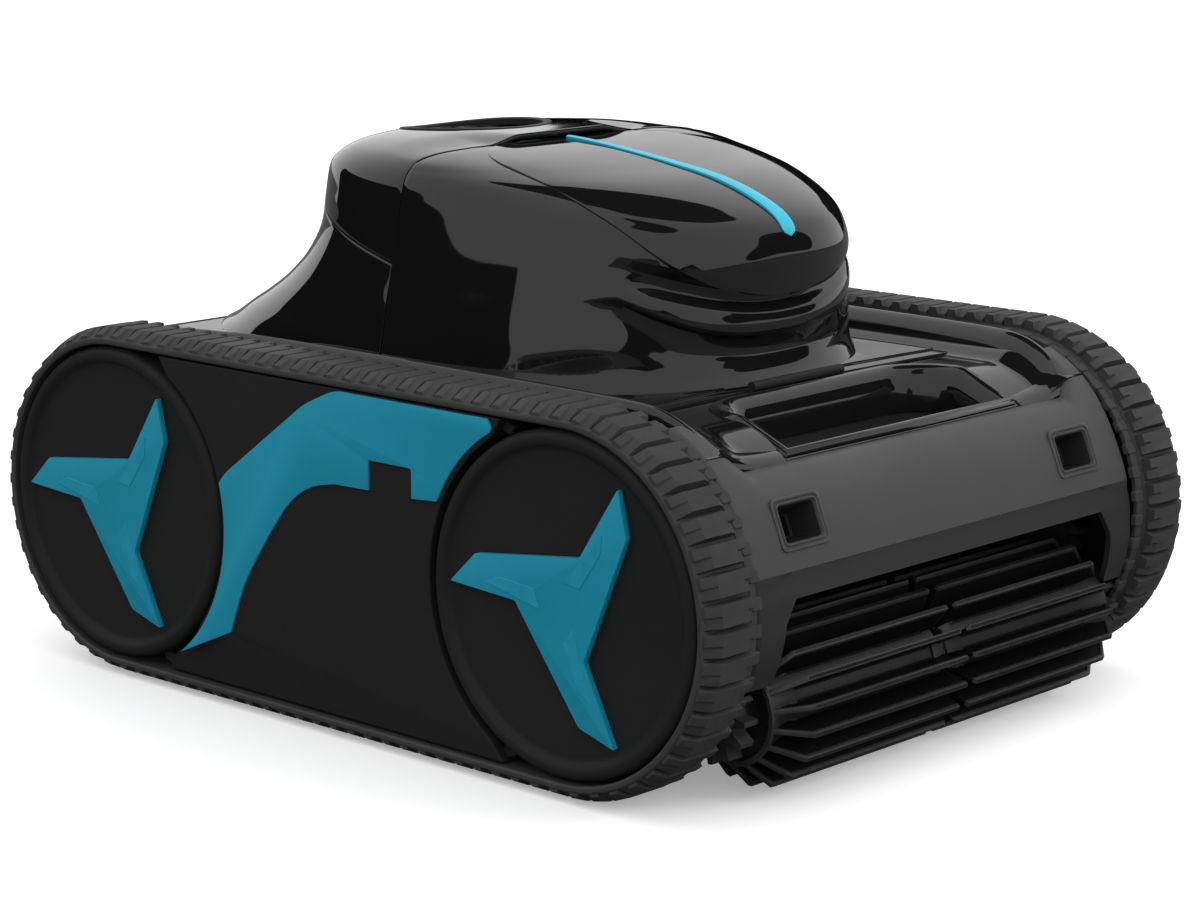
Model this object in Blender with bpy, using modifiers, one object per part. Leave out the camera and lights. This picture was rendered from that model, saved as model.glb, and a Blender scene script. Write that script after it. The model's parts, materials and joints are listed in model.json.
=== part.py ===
"""Cordless tracked pool cleaner, built as an assembly of separate pieces.

Frame: X across the machine, -Y ahead (the brush end), +Z up, origin on the floor
under the centre of the machine.  All named sizes are in millimetres.
"""

import math
from math import cos, pi, radians, sin

import bmesh
import bpy

MM = 0.001

# ---- clearances ---------------------------------------------------------------
SEAT_GAP = 0.3          # between faces that touch on the real machine
RUNNING_GAP = 0.3       # radial, a shaft in its bore
SWING_GAP = 1.0         # between a moving piece and what it passes
SEAM_GAP = 1.0          # visible joint line between hood mouldings

# ---- tracks and wheels --------------------------------------------------------
WHEELBASE = 272.0
TREAD_RADIUS = 79.0     # axle to the tip of a lug, so also the axle height
LUG_HEIGHT = 4.6
BAND_THICKNESS = 2.9
LUG_COUNT = 94
LUG_FILL = 0.80         # share of the pitch that a lug takes at its root
LUG_TAPER = 0.06        # share of the pitch lost at each side of a lug's tip
TRACK_INNER = 136.0     # |x| of the lugs' inner ends
FLANGE_INNER = 130.5    # |x| of the band's inner edge
HALF_WIDTH = 164.0      # |x| of the outermost faces
WHEEL_GAP = 1.2         # between wheel rim and band
WHEEL_WIDTH = 22.0
WHEEL_RIM = 4.0
WHEEL_DISH = 3.0
WHEEL_WEB = 6.0
HUB_RADIUS = 16.0
AXLE_RADIUS = 5.0
STAR_THICKNESS = 2.8
STAR_TIP_RADIUS = 60.0
STAR_SHOULDER_RADIUS = 48.0
STAR_WAIST_RADIUS = 24.0
STAR_TIP_ANGLE = 0.7
STAR_SHOULDER_TURN = 16.5
STAR_WAIST_TURN = 116.0

# ---- brush and its gears ------------------------------------------------------
BRUSH_LEAD = 48.0       # brush axis ahead of the front axle
BRUSH_Z = 36.0
BRUSH_RADIUS = 33.5
BRUSH_DRUM_RADIUS = 19.0
BRUSH_HALF_LENGTH = 116.0
BRUSH_SPLIT = 3.0
BRUSH_FINS = 18
FIN_THICKNESS = 2.2
BRUSH_SHAFT_RADIUS = 4.0
GEAR_TEETH = 36
PINION_TEETH = 12
GEAR_WIDTH = 8.0
GEAR_INNER = 121.0      # |x| of the gears' inner faces

# ---- body ---------------------------------------------------------------------
TUB_HALF_WIDTH = 117.0
TUB_NOSE = 7.0          # tub ahead of the front axle
TUB_TAIL = 50.0         # tub behind the rear axle
TUB_FLOOR = 14.0
WALL = 3.0
DECK_TOP = 144.0
BODY_HALF_WIDTH = 130.2
DECK_NOSE = 38.7        # deck ahead of the front axle
DECK_TAIL = 53.0        # deck behind the rear axle
FRAME_THICKNESS = 3.5
BULKHEAD_Y = 17.0
PANEL_THICKNESS = 3.0
PANEL_FACE_DROP = 1.0   # side panel face behind the outermost face
ACCENT_THICKNESS = 1.6
BUMPER_FOOT = 50.0
BRUSH_WINDOW_TOP = 84.0
VENT_SPACING = 93.7
VENT_WIDTH = 29.0
VENT_HEIGHT = 21.0
VENT_Z = 112.0
VENT_DEPTH = 14.0
REAR_OVERHANG = 81.5    # rear face behind the rear axle
POCKET_HALF_WIDTH = 78.0
POCKET_LENGTH = 48.0
POCKET_DEPTH = 30.0
POCKET_CORNER = 24.0

# ---- hood ---------------------------------------------------------------------
SEAM_Y = 15.0
HOOD_WALL = 3.0
LID_RISE = 94.8         # lid's top above the deck
CAP_RISE = 98.5         # cap's top above the deck
CAP_LINE_HEIGHT = 49.0  # above the deck: cap and skirt part here at the seam
CAP_LINE_RISE = 0.23    # and climb by this for each mm to the rear
LID_AXIS_Y = -121.4
LID_AXIS_HEIGHT = 2.6   # above the deck
HINGE_PIN_RADIUS = 2.2
OUTLET_Y = 70.0
OUTLET_RADIUS = 33.0
DUCT_WALL = 3.0
DUCT_HEIGHT = 48.0      # duct's lower edge above the deck
IMPELLER_RADIUS = 28.0
DRIVE_MOTOR_RADIUS = 17.0
MOTOR_RADIUS = 24.0
MOTOR_HEIGHT = 46.0     # pump motor's shoulder above the deck
IMPELLER_HEIGHT = 58.0  # impeller's lower face above the deck
IMPELLER_WIDTH = 9.0

# ---- inside -------------------------------------------------------------------
BASKET_HALF_WIDTH = 72.0
BASKET_FRONT = -80.0
BASKET_REAR = 6.0
BASKET_TOP = 128.0
BASKET_WALL = 2.5
HANDLE_PIVOT_Y = -37.0
HANDLE_LENGTH = 38.0
INLET_HALF_WIDTH = 24.0
INLET_CENTRE_X = 36.0
INLET_FRONT = -66.0
INLET_REAR = -34.0
BATTERY_HALF_WIDTH = 60.0
BATTERY_GAP = 3.557     # behind the drive motors
BATTERY_END_GAP = 5.0   # ahead of the tub's rear wall
BATTERY_CLEARANCE = 6.7 # under the rear axle
ACCENT_DRAWN_RADIUS = 71.5   # the belt's inner radius that the teal band is drawn for
BUTTON_WINDOW = ((-10.0, 10.0), (72.0, 92.0))
PORT_WINDOW = ((38.0, 62.0), (74.0, 90.0))

# ---- worked out ---------------------------------------------------------------
AXLE_Z = TREAD_RADIUS
BAND_OUTER = TREAD_RADIUS - LUG_HEIGHT
BAND_INNER = BAND_OUTER - BAND_THICKNESS
WHEEL_RADIUS = BAND_INNER - WHEEL_GAP
FRONT_Y = -WHEELBASE / 2
REAR_Y = WHEELBASE / 2
BRUSH_Y = FRONT_Y - BRUSH_LEAD
TUB_FRONT = FRONT_Y - TUB_NOSE
TUB_REAR = REAR_Y + TUB_TAIL
DECK_FRONT = FRONT_Y - DECK_NOSE
DECK_REAR = REAR_Y + DECK_TAIL
REAR_FACE = REAR_Y + REAR_OVERHANG
LID_TOP = DECK_TOP + LID_RISE
CAP_TOP = DECK_TOP + CAP_RISE
CAP_LINE_Z = DECK_TOP + CAP_LINE_HEIGHT
LID_AXIS_Z = DECK_TOP + LID_AXIS_HEIGHT
DUCT_BOTTOM = DECK_TOP + DUCT_HEIGHT
WHEEL_OUTER = HALF_WIDTH - 0.4
WHEEL_INNER = WHEEL_OUTER - WHEEL_WIDTH
GEAR_DISTANCE = math.hypot(BRUSH_Y - FRONT_Y, BRUSH_Z - AXLE_Z)
GEAR_MODULE = 2 * GEAR_DISTANCE / (GEAR_TEETH + PINION_TEETH)
GEAR_OUTER = GEAR_INNER + GEAR_WIDTH
HUB_INNER = GEAR_INNER - 1.0
FRAME_OUTER = WHEEL_INNER - 2.6
FRAME_INNER = FRAME_OUTER - FRAME_THICKNESS
MOTOR_ANGLE = radians(200)
MOTOR_Y = REAR_Y + GEAR_DISTANCE * cos(MOTOR_ANGLE)
MOTOR_Z = AXLE_Z + GEAR_DISTANCE * sin(MOTOR_ANGLE)
COVER_TOP = DECK_TOP - WALL - SEAT_GAP
PANEL_GAP_RADIUS = WHEEL_RADIUS + 2.2

COLOURS = {
    "rubber": ((0.035, 0.036, 0.038), 0.75, 0.0),
    "matte_black": ((0.012, 0.012, 0.013), 0.55, 0.0),
    "gloss_black": ((0.008, 0.008, 0.009), 0.12, 0.0),
    "satin_grey": ((0.065, 0.065, 0.068), 0.42, 0.0),
    "teal": ((0.012, 0.27, 0.40), 0.40, 0.0),
    "cyan": ((0.03, 0.45, 0.60), 0.30, 0.0),
    "gear": ((0.55, 0.55, 0.53), 0.50, 0.0),
    "steel": ((0.60, 0.60, 0.62), 0.30, 1.0),
    "battery": ((0.02, 0.10, 0.28), 0.45, 0.0),
    "board": ((0.01, 0.14, 0.05), 0.50, 0.0),
    "mesh": ((0.30, 0.31, 0.32), 0.70, 0.0),
}


# ---- tools --------------------------------------------------------------------
def clear_scene():
    """Remove every object that the file opened with."""
    for obj in list(bpy.data.objects):
        bpy.data.objects.remove(obj, do_unlink=True)


def new_collection(name):
    collection = bpy.data.collections.new(name)
    bpy.context.scene.collection.children.link(collection)
    return collection


def material(name):
    """Return the Principled material of this name, making it the first time."""
    found = bpy.data.materials.get(name)
    if found:
        return found
    colour, roughness, metallic = COLOURS[name]
    made = bpy.data.materials.new(name)
    made.use_nodes = True
    shader = made.node_tree.nodes["Principled BSDF"]
    shader.inputs["Base Color"].default_value = (*colour, 1.0)
    shader.inputs["Roughness"].default_value = roughness
    shader.inputs["Metallic"].default_value = metallic
    made.diffuse_color = (*colour, 1.0)
    return made


def add_object(name, data, finish, collection=None):
    obj = bpy.data.objects.new(name, data)
    (collection or PARTS).objects.link(obj)
    if finish:
        data.materials.append(material(finish))
    return obj


def bake(obj, finish=None):
    """Replace an object by its evaluated mesh, welded and facing outwards."""
    graph = bpy.context.evaluated_depsgraph_get()
    mesh = bpy.data.meshes.new_from_object(obj.evaluated_get(graph))
    name, matrix = obj.name, obj.matrix_world.copy()
    collection = obj.users_collection[0]
    bpy.data.objects.remove(obj, do_unlink=True)
    work = bmesh.new()
    work.from_mesh(mesh)
    bmesh.ops.remove_doubles(work, verts=work.verts, dist=0.005 * MM)
    bmesh.ops.recalc_face_normals(work, faces=work.faces)
    work.to_mesh(mesh)
    work.free()
    mesh.materials.clear()
    result = add_object(name, mesh, finish, collection)
    result.name = name
    result.matrix_world = matrix
    return result


def outline_piece(name, loops, axis, low, high, finish, collection=None):
    """Extrude flat loops (the first is the outside, the rest are holes) along an axis."""
    curve = bpy.data.curves.new(name, "CURVE")
    curve.dimensions = "2D"
    curve.fill_mode = "BOTH"
    curve.extrude = (high - low) / 2 * MM
    for loop in loops:
        spline = curve.splines.new("POLY")
        spline.points.add(len(loop) - 1)
        for point, (a, b) in zip(spline.points, loop):
            point.co = (a * MM, b * MM, 0, 1)
        spline.use_cyclic_u = True
    obj = add_object(name, curve, None, collection)
    middle = (low + high) / 2 * MM
    if axis == "X":
        obj.rotation_euler = (pi / 2, 0, pi / 2)
        obj.location = (middle, 0, 0)
    elif axis == "Y":
        obj.rotation_euler = (pi / 2, 0, 0)
        obj.location = (0, middle, 0)
    else:
        obj.location = (0, 0, middle)
    bpy.context.view_layer.update()
    return bake(obj, finish)


def box_piece(name, x, y, z, finish, collection=None):
    """A box between the given (low, high) pairs."""
    mesh = bpy.data.meshes.new(name)
    work = bmesh.new()
    bmesh.ops.create_cube(work, size=1.0)
    for vert in work.verts:
        for i, (low, high) in enumerate((x, y, z)):
            vert.co[i] = (low if vert.co[i] < 0 else high) * MM
    work.to_mesh(mesh)
    work.free()
    return add_object(name, mesh, finish, collection)


def turned_piece(name, profile, finish, centre, axis, segments=32, collection=None):
    """Turn a closed (radius, height) profile about an axis: '+X', '-X' or '+Z'."""
    mesh = bpy.data.meshes.new(name)
    work = bmesh.new()
    verts = [work.verts.new((r * MM, 0, h * MM)) for r, h in profile]
    for a, b in zip(verts, verts[1:]):
        work.edges.new((a, b))
    if profile[0][0] > 0:
        work.edges.new((verts[-1], verts[0]))
    work.to_mesh(mesh)
    work.free()
    obj = add_object(name, mesh, None, collection)
    screw = obj.modifiers.new("turn", "SCREW")
    screw.steps = segments
    screw.render_steps = segments
    screw.use_merge_vertices = True
    screw.merge_threshold = 0.00001
    obj.rotation_euler = {"+X": (0, pi / 2, 0), "-X": (0, -pi / 2, 0), "+Z": (0, 0, 0)}[axis]
    obj.location = [value * MM for value in centre]
    bpy.context.view_layer.update()
    return bake(obj, finish)


def rod_piece(name, radius, low, high, centre, axis, finish, segments=24, collection=None):
    """A plain rod; centre is its axis, low and high its ends along it."""
    profile = [(0, low), (radius, low), (radius, high), (0, high)]
    return turned_piece(name, profile, finish, centre, axis, segments, collection)


def combine(obj, other, operation, solver="EXACT"):
    """Add or cut with another mesh object, then drop that object."""
    finish = obj.data.materials[0].name if obj.data.materials else None
    modifier = obj.modifiers.new(operation.lower(), "BOOLEAN")
    modifier.operation = operation
    modifier.solver = solver
    modifier.object = other
    bpy.context.view_layer.update()
    result = bake(obj, finish)
    bpy.data.objects.remove(other, do_unlink=True)
    return result


def cut(obj, cutter):
    return combine(obj, cutter, "DIFFERENCE")


def join(obj, other):
    return combine(obj, other, "UNION")


def cutter_box(x, y, z):
    return box_piece("cutter", x, y, z, None, CUTTERS)


def cutter_rod(radius, low, high, centre, axis, segments=16):
    return rod_piece("cutter", radius, low, high, centre, axis, None, segments, CUTTERS)


def arc(centre, radius, start, end, count):
    """Points on an arc, both ends included; angles in degrees."""
    points = []
    for i in range(count + 1):
        angle = radians(start + (end - start) * i / count)
        points.append((centre[0] + radius * cos(angle), centre[1] + radius * sin(angle)))
    return points


def circle(centre, radius, count):
    """Points round a full circle."""
    return arc(centre, radius, 0, 360 * (count - 1) / count, count - 1)


def stadium(radius, count=12):
    """The outline around both wheels at this radius, in (y, z)."""
    rear = arc((REAR_Y, AXLE_Z), radius, -90, 90, count)
    front = arc((FRONT_Y, AXLE_Z), radius, 90, 270, count)
    return rear + front


def sides():
    """Yield (name, sign) for the machine's left (+X) and right (-X)."""
    return (("left", 1), ("right", -1))


def span(sign, inner, outer):
    """An |x| range as an ordered pair on one side."""
    return tuple(sorted((sign * inner, sign * outer)))


# ---- tracks -------------------------------------------------------------------
def track_point(share, radius):
    """The point at this share of the way round the loop, at this radius."""
    neutral = (BAND_OUTER + BAND_INNER) / 2
    total = 2 * WHEELBASE + 2 * pi * neutral
    s = (share % 1.0) * total
    if s < WHEELBASE:
        return (FRONT_Y + s, AXLE_Z - radius)
    s -= WHEELBASE
    if s < pi * neutral:
        angle = s / neutral - pi / 2
        return (REAR_Y + radius * cos(angle), AXLE_Z + radius * sin(angle))
    s -= pi * neutral
    if s < WHEELBASE:
        return (REAR_Y - s, AXLE_Z + radius)
    s -= WHEELBASE
    angle = s / neutral + pi / 2
    return (FRONT_Y + radius * cos(angle), AXLE_Z + radius * sin(angle))


def lug_centre(index):
    """Share of the loop at the middle of a lug."""
    return (index + 0.5) / LUG_COUNT


def make_track(side, sign):
    loop = []
    half = LUG_FILL / 2 / LUG_COUNT
    tip = half - LUG_TAPER / LUG_COUNT
    for i in range(LUG_COUNT):
        middle = lug_centre(i)
        loop.append(track_point(middle - half, BAND_OUTER))
        loop.append(track_point(middle - tip, TREAD_RADIUS))
        loop.append(track_point(middle + tip, TREAD_RADIUS))
        loop.append(track_point(middle + half, BAND_OUTER))
    low, high = span(sign, TRACK_INNER, HALF_WIDTH)
    belt = outline_piece("track_belt_" + side, [loop, stadium(BAND_INNER)], "X", low, high, "rubber")
    low, high = span(sign, FLANGE_INNER, TRACK_INNER + 1.0)
    rings = [stadium(BAND_OUTER - 0.6), stadium(BAND_INNER + 0.1)]
    flange = outline_piece("flange", rings, "X", low, high, None, CUTTERS)
    return combine(belt, flange, "UNION", "MANIFOLD")


def make_wheel(end, side, sign, y):
    bore = AXLE_RADIUS + RUNNING_GAP
    face = WHEEL_OUTER - WHEEL_DISH
    rim_inner = WHEEL_RADIUS - WHEEL_RIM
    profile = [
        (0, face - 2.5), (bore, face - 2.5), (bore, HUB_INNER), (HUB_RADIUS, HUB_INNER),
        (HUB_RADIUS, face - WHEEL_WEB), (rim_inner - 2, face - WHEEL_WEB), (rim_inner, WHEEL_INNER),
        (WHEEL_RADIUS, WHEEL_INNER), (WHEEL_RADIUS, WHEEL_OUTER - 1.5), (WHEEL_RADIUS - 1.5, WHEEL_OUTER),
        (WHEEL_RADIUS - 6, WHEEL_OUTER), (WHEEL_RADIUS - 9, face), (0, face),
    ]
    axis = "+X" if sign > 0 else "-X"
    return turned_piece(f"wheel_{end}_{side}", profile, "matte_black", (0, y, AXLE_Z), axis, 32)


def star_outline(y):
    """Three-armed insert, in (y, z)."""
    points = []
    for arm in range(3):
        start = STAR_TIP_ANGLE + 120 * arm
        for turn, radius in ((0, STAR_TIP_RADIUS), (STAR_SHOULDER_TURN, STAR_SHOULDER_RADIUS),
                             (STAR_WAIST_TURN, STAR_WAIST_RADIUS)):
            angle = radians(start + turn)
            points.append((y + radius * cos(angle), AXLE_Z + radius * sin(angle)))
    return points


def make_star(end, side, sign, y):
    low = WHEEL_OUTER - WHEEL_DISH + SEAT_GAP
    x = span(sign, low, low + STAR_THICKNESS)
    return outline_piece(f"wheel_star_{end}_{side}", [star_outline(y)], "X", *x, "teal")


def make_axle(end, y):
    reach = WHEEL_OUTER - WHEEL_DISH - 3.0
    return rod_piece(f"axle_{end}", AXLE_RADIUS, -reach, reach, (0, y, AXLE_Z), "+X", "steel")


# ---- gears --------------------------------------------------------------------
def gear_outline(centre, teeth, phase):
    """Straight-flanked teeth with backlash, in (y, z); phase in degrees."""
    pitch_radius = GEAR_MODULE * teeth / 2
    tip = pitch_radius + 0.85 * GEAR_MODULE
    root = pitch_radius - 1.15 * GEAR_MODULE
    step = 360 / teeth
    points = []
    for i in range(teeth):
        middle = phase + i * step
        for radius, share in ((root, -0.31), (tip, -0.11), (tip, 0.11), (root, 0.31)):
            angle = radians(middle + share * step)
            points.append((centre[0] + radius * cos(angle), centre[1] + radius * sin(angle)))
    return points


def mesh_phase(angle, teeth):
    """Phase that puts a gap of the pinion on the line of centres."""
    return math.degrees(angle) + 180 + 180 / teeth


def make_drive_gear(end, side, sign, y, towards):
    centre = (y, AXLE_Z)
    loops = [gear_outline(centre, GEAR_TEETH, math.degrees(towards)),
             circle(centre, HUB_RADIUS + SEAT_GAP, 24)]
    x = span(sign, GEAR_INNER, GEAR_OUTER)
    return outline_piece(f"drive_gear_{end}_{side}", loops, "X", *x, "gear")


def make_brush_pinion(side, sign, towards):
    centre = (BRUSH_Y, BRUSH_Z)
    loops = [gear_outline(centre, PINION_TEETH, mesh_phase(towards, PINION_TEETH)),
             circle(centre, BRUSH_SHAFT_RADIUS + RUNNING_GAP, 12)]
    x = span(sign, GEAR_INNER, GEAR_OUTER)
    return outline_piece("brush_pinion_" + side, loops, "X", *x, "gear")


def make_motor_pinion(side, sign):
    centre = (MOTOR_Y, MOTOR_Z)
    loops = [gear_outline(centre, PINION_TEETH, mesh_phase(MOTOR_ANGLE, PINION_TEETH))]
    x = span(sign, GEAR_INNER, GEAR_OUTER)
    pinion = outline_piece("motor_pinion_" + side, loops, "X", *x, "steel")
    low, high = span(sign, TUB_HALF_WIDTH - WALL - 1.0, GEAR_OUTER + 1.0)
    return join(pinion, rod_piece("shaft", 4.0, low, high, (0, *centre), "+X", None, 20, CUTTERS))


# ---- brush --------------------------------------------------------------------
def make_brush(side, sign):
    """Half of the roller: a drum with straight fins that taper at the outer end."""
    centre = (BRUSH_Y, BRUSH_Z)
    loop = []
    step = 360 / BRUSH_FINS
    for i in range(BRUSH_FINS):
        root = math.degrees(FIN_THICKNESS * 0.8 / BRUSH_DRUM_RADIUS)
        tip = math.degrees(FIN_THICKNESS * 0.5 / BRUSH_RADIUS)
        middle = i * step
        for radius, offset in ((BRUSH_DRUM_RADIUS, -root), (BRUSH_RADIUS, -tip),
                               (BRUSH_RADIUS, tip), (BRUSH_DRUM_RADIUS, root)):
            angle = radians(middle + offset)
            loop.append((centre[0] + radius * cos(angle), centre[1] + radius * sin(angle)))
    bore = BRUSH_SHAFT_RADIUS + RUNNING_GAP
    x = span(sign, BRUSH_SPLIT / 2, BRUSH_HALF_LENGTH)
    brush = outline_piece("brush_" + side, [loop, circle(centre, bore, 12)], "X", *x, "rubber")
    axis = "+X" if sign > 0 else "-X"
    neck = [(bore, BRUSH_HALF_LENGTH - 1), (9, BRUSH_HALF_LENGTH - 1),
            (9, GEAR_INNER - SEAT_GAP), (bore, GEAR_INNER - SEAT_GAP)]
    brush = join(brush, turned_piece("neck", neck, None, (0, *centre), axis, 12, CUTTERS))
    taper = [(BRUSH_DRUM_RADIUS + 3, BRUSH_HALF_LENGTH + 0.1), (BRUSH_RADIUS + 3, BRUSH_HALF_LENGTH - 13),
             (BRUSH_RADIUS + 3, BRUSH_HALF_LENGTH + 0.1)]
    return cut(brush, turned_piece("taper", taper, None, (0, *centre), axis, 24, CUTTERS))


def make_brush_shaft():
    return rod_piece("brush_shaft", BRUSH_SHAFT_RADIUS, -FRAME_OUTER, FRAME_OUTER,
                     (0, BRUSH_Y, BRUSH_Z), "+X", "steel")


# ---- side frames, panels ------------------------------------------------------
def make_side_frame(side, sign):
    """Plate behind the wheels that carries the brush shaft and the side panel."""
    hub = HUB_RADIUS + SWING_GAP
    loops = [stadium(BAND_INNER - SWING_GAP),
             circle((FRONT_Y, AXLE_Z), hub, 16), circle((REAR_Y, AXLE_Z), hub, 16),
             circle((BRUSH_Y, BRUSH_Z), BRUSH_SHAFT_RADIUS + SEAT_GAP, 12)]
    x = span(sign, FRAME_INNER, FRAME_OUTER)
    return outline_piece("side_frame_" + side, loops, "X", *x, "matte_black")


def panel_outline(inset):
    """The panel between the wheels, in (y, z): hollow ends, clipped horns."""
    radius = PANEL_GAP_RADIUS + inset
    half_height = BAND_INNER - SWING_GAP - inset
    horn = 104.0 - inset
    start = math.degrees(math.acos((REAR_Y - horn) / radius))
    top = AXLE_Z + half_height
    bottom = AXLE_Z - half_height
    points = [(-horn, bottom), (horn, bottom)]
    points += arc((REAR_Y, AXLE_Z), radius, 180 + start, 180 - start, 8)
    points += [(horn, top), (-horn, top)]
    points += arc((FRONT_Y, AXLE_Z), radius, start, -start, 8)
    return points


def make_side_panel(side, sign):
    """Tray-shaped cover, open towards the machine."""
    face = HALF_WIDTH - PANEL_FACE_DROP
    x = span(sign, FRAME_OUTER + SEAT_GAP, face)
    panel = outline_piece("side_panel_" + side, [panel_outline(0)], "X", *x, "matte_black")
    x = span(sign, FRAME_OUTER - 1, face - PANEL_THICKNESS)
    panel = cut(panel, outline_piece("hollow", [panel_outline(PANEL_THICKNESS)], "X", *x, None, CUTTERS))
    x = span(sign, face - ACCENT_THICKNESS + 1.0, face + 1)
    panel = cut(panel, outline_piece("seat", [accent_outline(0)], "X", *x, None, CUTTERS))
    y, z = latch_window(0)
    return cut(panel, cutter_box(span(sign, FRAME_OUTER, face + 1), y, z))


def accent_outline(inset):
    """Teal band across the panel's top that runs down behind the rear wheel."""
    radius = PANEL_GAP_RADIUS + 1.5 + inset
    top = AXLE_Z + BAND_INNER - 2.5 - inset
    front = arc((FRONT_Y, AXLE_Z), radius, 61 - 2 * inset, 25 + inset, 5)
    rear = arc((REAR_Y, AXLE_Z), radius, 238 - 8 * inset, 164, 8)
    slant = inset * 0.75
    tail = REAR_Y + inset
    under = [(FRONT_Y + 82, 30.5 + inset), (REAR_Y - 144 + slant, 30 + slant),
             (REAR_Y - 131 + slant, 26.5 + slant), (REAR_Y - 118 + slant, 18.5 + slant),
             (tail - 107, 5.5 + slant), (tail - 87, -24), (tail - 78, inset - 46)]
    shoulder = REAR_Y - slant
    over = [(shoulder - 75.6, 25.3 - slant), (shoulder - 126.5, 62 - slant), (shoulder - 136, 67 - inset)]
    return front + above_axle(under) + rear + above_axle(over) + [(REAR_Y - 146, top), (FRONT_Y + 40 + inset, top)]


def above_axle(points):
    """Points drawn as (y, height above the axle), fitted to the belt's radius."""
    return [(y, AXLE_Z + height * BAND_INNER / ACCENT_DRAWN_RADIUS) for y, height in points]


def latch_window(inset):
    """The push tab's opening in (y) and (z) pairs."""
    (_, low), (_, high) = above_axle([(0, 30.8), (0, 43.2)])
    return (FRONT_Y + 82 + inset, FRONT_Y + 106.5 - inset), (low + inset, high - inset)


def make_accent(side, sign):
    face = HALF_WIDTH - PANEL_FACE_DROP
    x = span(sign, face - ACCENT_THICKNESS + 1.0 + SEAT_GAP, HALF_WIDTH)
    accent = outline_piece("side_accent_" + side, [accent_outline(0.4)], "X", *x, "teal")
    y, z = latch_window(-0.4)
    return cut(accent, cutter_box(span(sign, FRAME_OUTER, HALF_WIDTH + 1), y, z))


def make_side_latch(side, sign):
    y, z = latch_window(0.6)
    x = span(sign, HALF_WIDTH - 12, HALF_WIDTH - 3.0)
    return box_piece("side_latch_" + side, x, y, z, "matte_black")


# ---- body ---------------------------------------------------------------------
def make_tub():
    """The hull: filter bay ahead of the bulkhead, dry bay behind it."""
    half, top = TUB_HALF_WIDTH, COVER_TOP
    tub = box_piece("chassis_tub", (-half, half), (TUB_FRONT, TUB_REAR), (TUB_FLOOR, top), "matte_black")
    inner = half - WALL
    tub = cut(tub, cutter_box((-inner, inner), (TUB_FRONT + WALL, BULKHEAD_Y), (TUB_FLOOR + WALL, top + 1)))
    tub = cut(tub, cutter_box((-inner, inner), (BULKHEAD_Y + WALL, TUB_REAR - WALL),
                              (TUB_FLOOR + WALL, top + 1)))
    for y in (FRONT_Y, REAR_Y):
        tub = cut(tub, cutter_rod(AXLE_RADIUS + SEAT_GAP, -half - 5, half + 5, (0, y, AXLE_Z), "+X"))
    tub = cut(tub, cutter_rod(4.6, -half - 5, half + 5, (0, MOTOR_Y, MOTOR_Z), "+X"))
    low = DECK_TOP - POCKET_DEPTH - WALL - SEAT_GAP
    tub = cut(tub, outline_piece("notch", [pocket_outline(-WALL - SEAT_GAP)], "Z", low, top + 5, None, CUTTERS))
    for sign in (-1, 1):
        x = (sign * INLET_CENTRE_X - INLET_HALF_WIDTH, sign * INLET_CENTRE_X + INLET_HALF_WIDTH)
        tub = cut(tub, cutter_box(x, (INLET_FRONT, INLET_REAR), (TUB_FLOOR - 1, TUB_FLOOR + WALL + 1)))
    return tub


def make_inlet_lip():
    """Soft skirt under the floor around both inlets."""
    half = INLET_CENTRE_X + INLET_HALF_WIDTH
    outer = [(-half - 5, INLET_FRONT - 5), (half + 5, INLET_FRONT - 5), (half + 5, INLET_REAR + 5),
             (-half - 5, INLET_REAR + 5)]
    inner = [(-half - 1, INLET_FRONT - 1), (half + 1, INLET_FRONT - 1), (half + 1, INLET_REAR + 1),
             (-half - 1, INLET_REAR + 1)]
    return outline_piece("inlet_lip", [outer, inner], "Z", 7.0, TUB_FLOOR - SEAT_GAP, "rubber")


def make_dry_bay_cover():
    inner = TUB_HALF_WIDTH - WALL - SEAT_GAP
    y = (BULKHEAD_Y + WALL + SEAT_GAP, TUB_REAR - WALL - SEAT_GAP)
    return box_piece("dry_bay_cover", (-inner, inner), y, (COVER_TOP - 4, COVER_TOP), "matte_black")


def pocket_outline(inset):
    """D-shaped hand hole, in (x, y); its straight side is at the front."""
    half = POCKET_HALF_WIDTH - inset
    front = DECK_FRONT + WALL + 0.5 + inset
    rear = DECK_FRONT + WALL + 0.5 + POCKET_LENGTH - inset
    r = POCKET_CORNER - inset
    return ([(-half + 10, front), (half - 10, front)]
            + arc((half - r, rear - r), r, 0, 90, 6) + arc((-half + r, rear - r), r, 90, 180, 6))


def make_deck():
    """Top deck with the hand pocket, the filter opening and the motor opening."""
    low = DECK_TOP - WALL
    half = BODY_HALF_WIDTH - 3
    deck = box_piece("deck_cover", (-half, half), (DECK_FRONT, DECK_REAR), (low, DECK_TOP), "gloss_black")
    cup = outline_piece("cup", [pocket_outline(-WALL)], "Z", DECK_TOP - POCKET_DEPTH - WALL, low + 1, None, CUTTERS)
    deck = join(deck, cup)
    deck = cut(deck, outline_piece("hollow", [pocket_outline(0)], "Z", DECK_TOP - POCKET_DEPTH, DECK_TOP + 1,
                                   None, CUTTERS))
    x = BASKET_HALF_WIDTH + 3
    deck = cut(deck, cutter_box((-x, x), (BASKET_FRONT - 3, SEAM_Y + 2), (low - 1, DECK_TOP + 1)))
    x = 60
    return cut(deck, cutter_box((-x, x), (BULKHEAD_Y + WALL + 4, 120), (low - 1, DECK_TOP + 1)))


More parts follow.
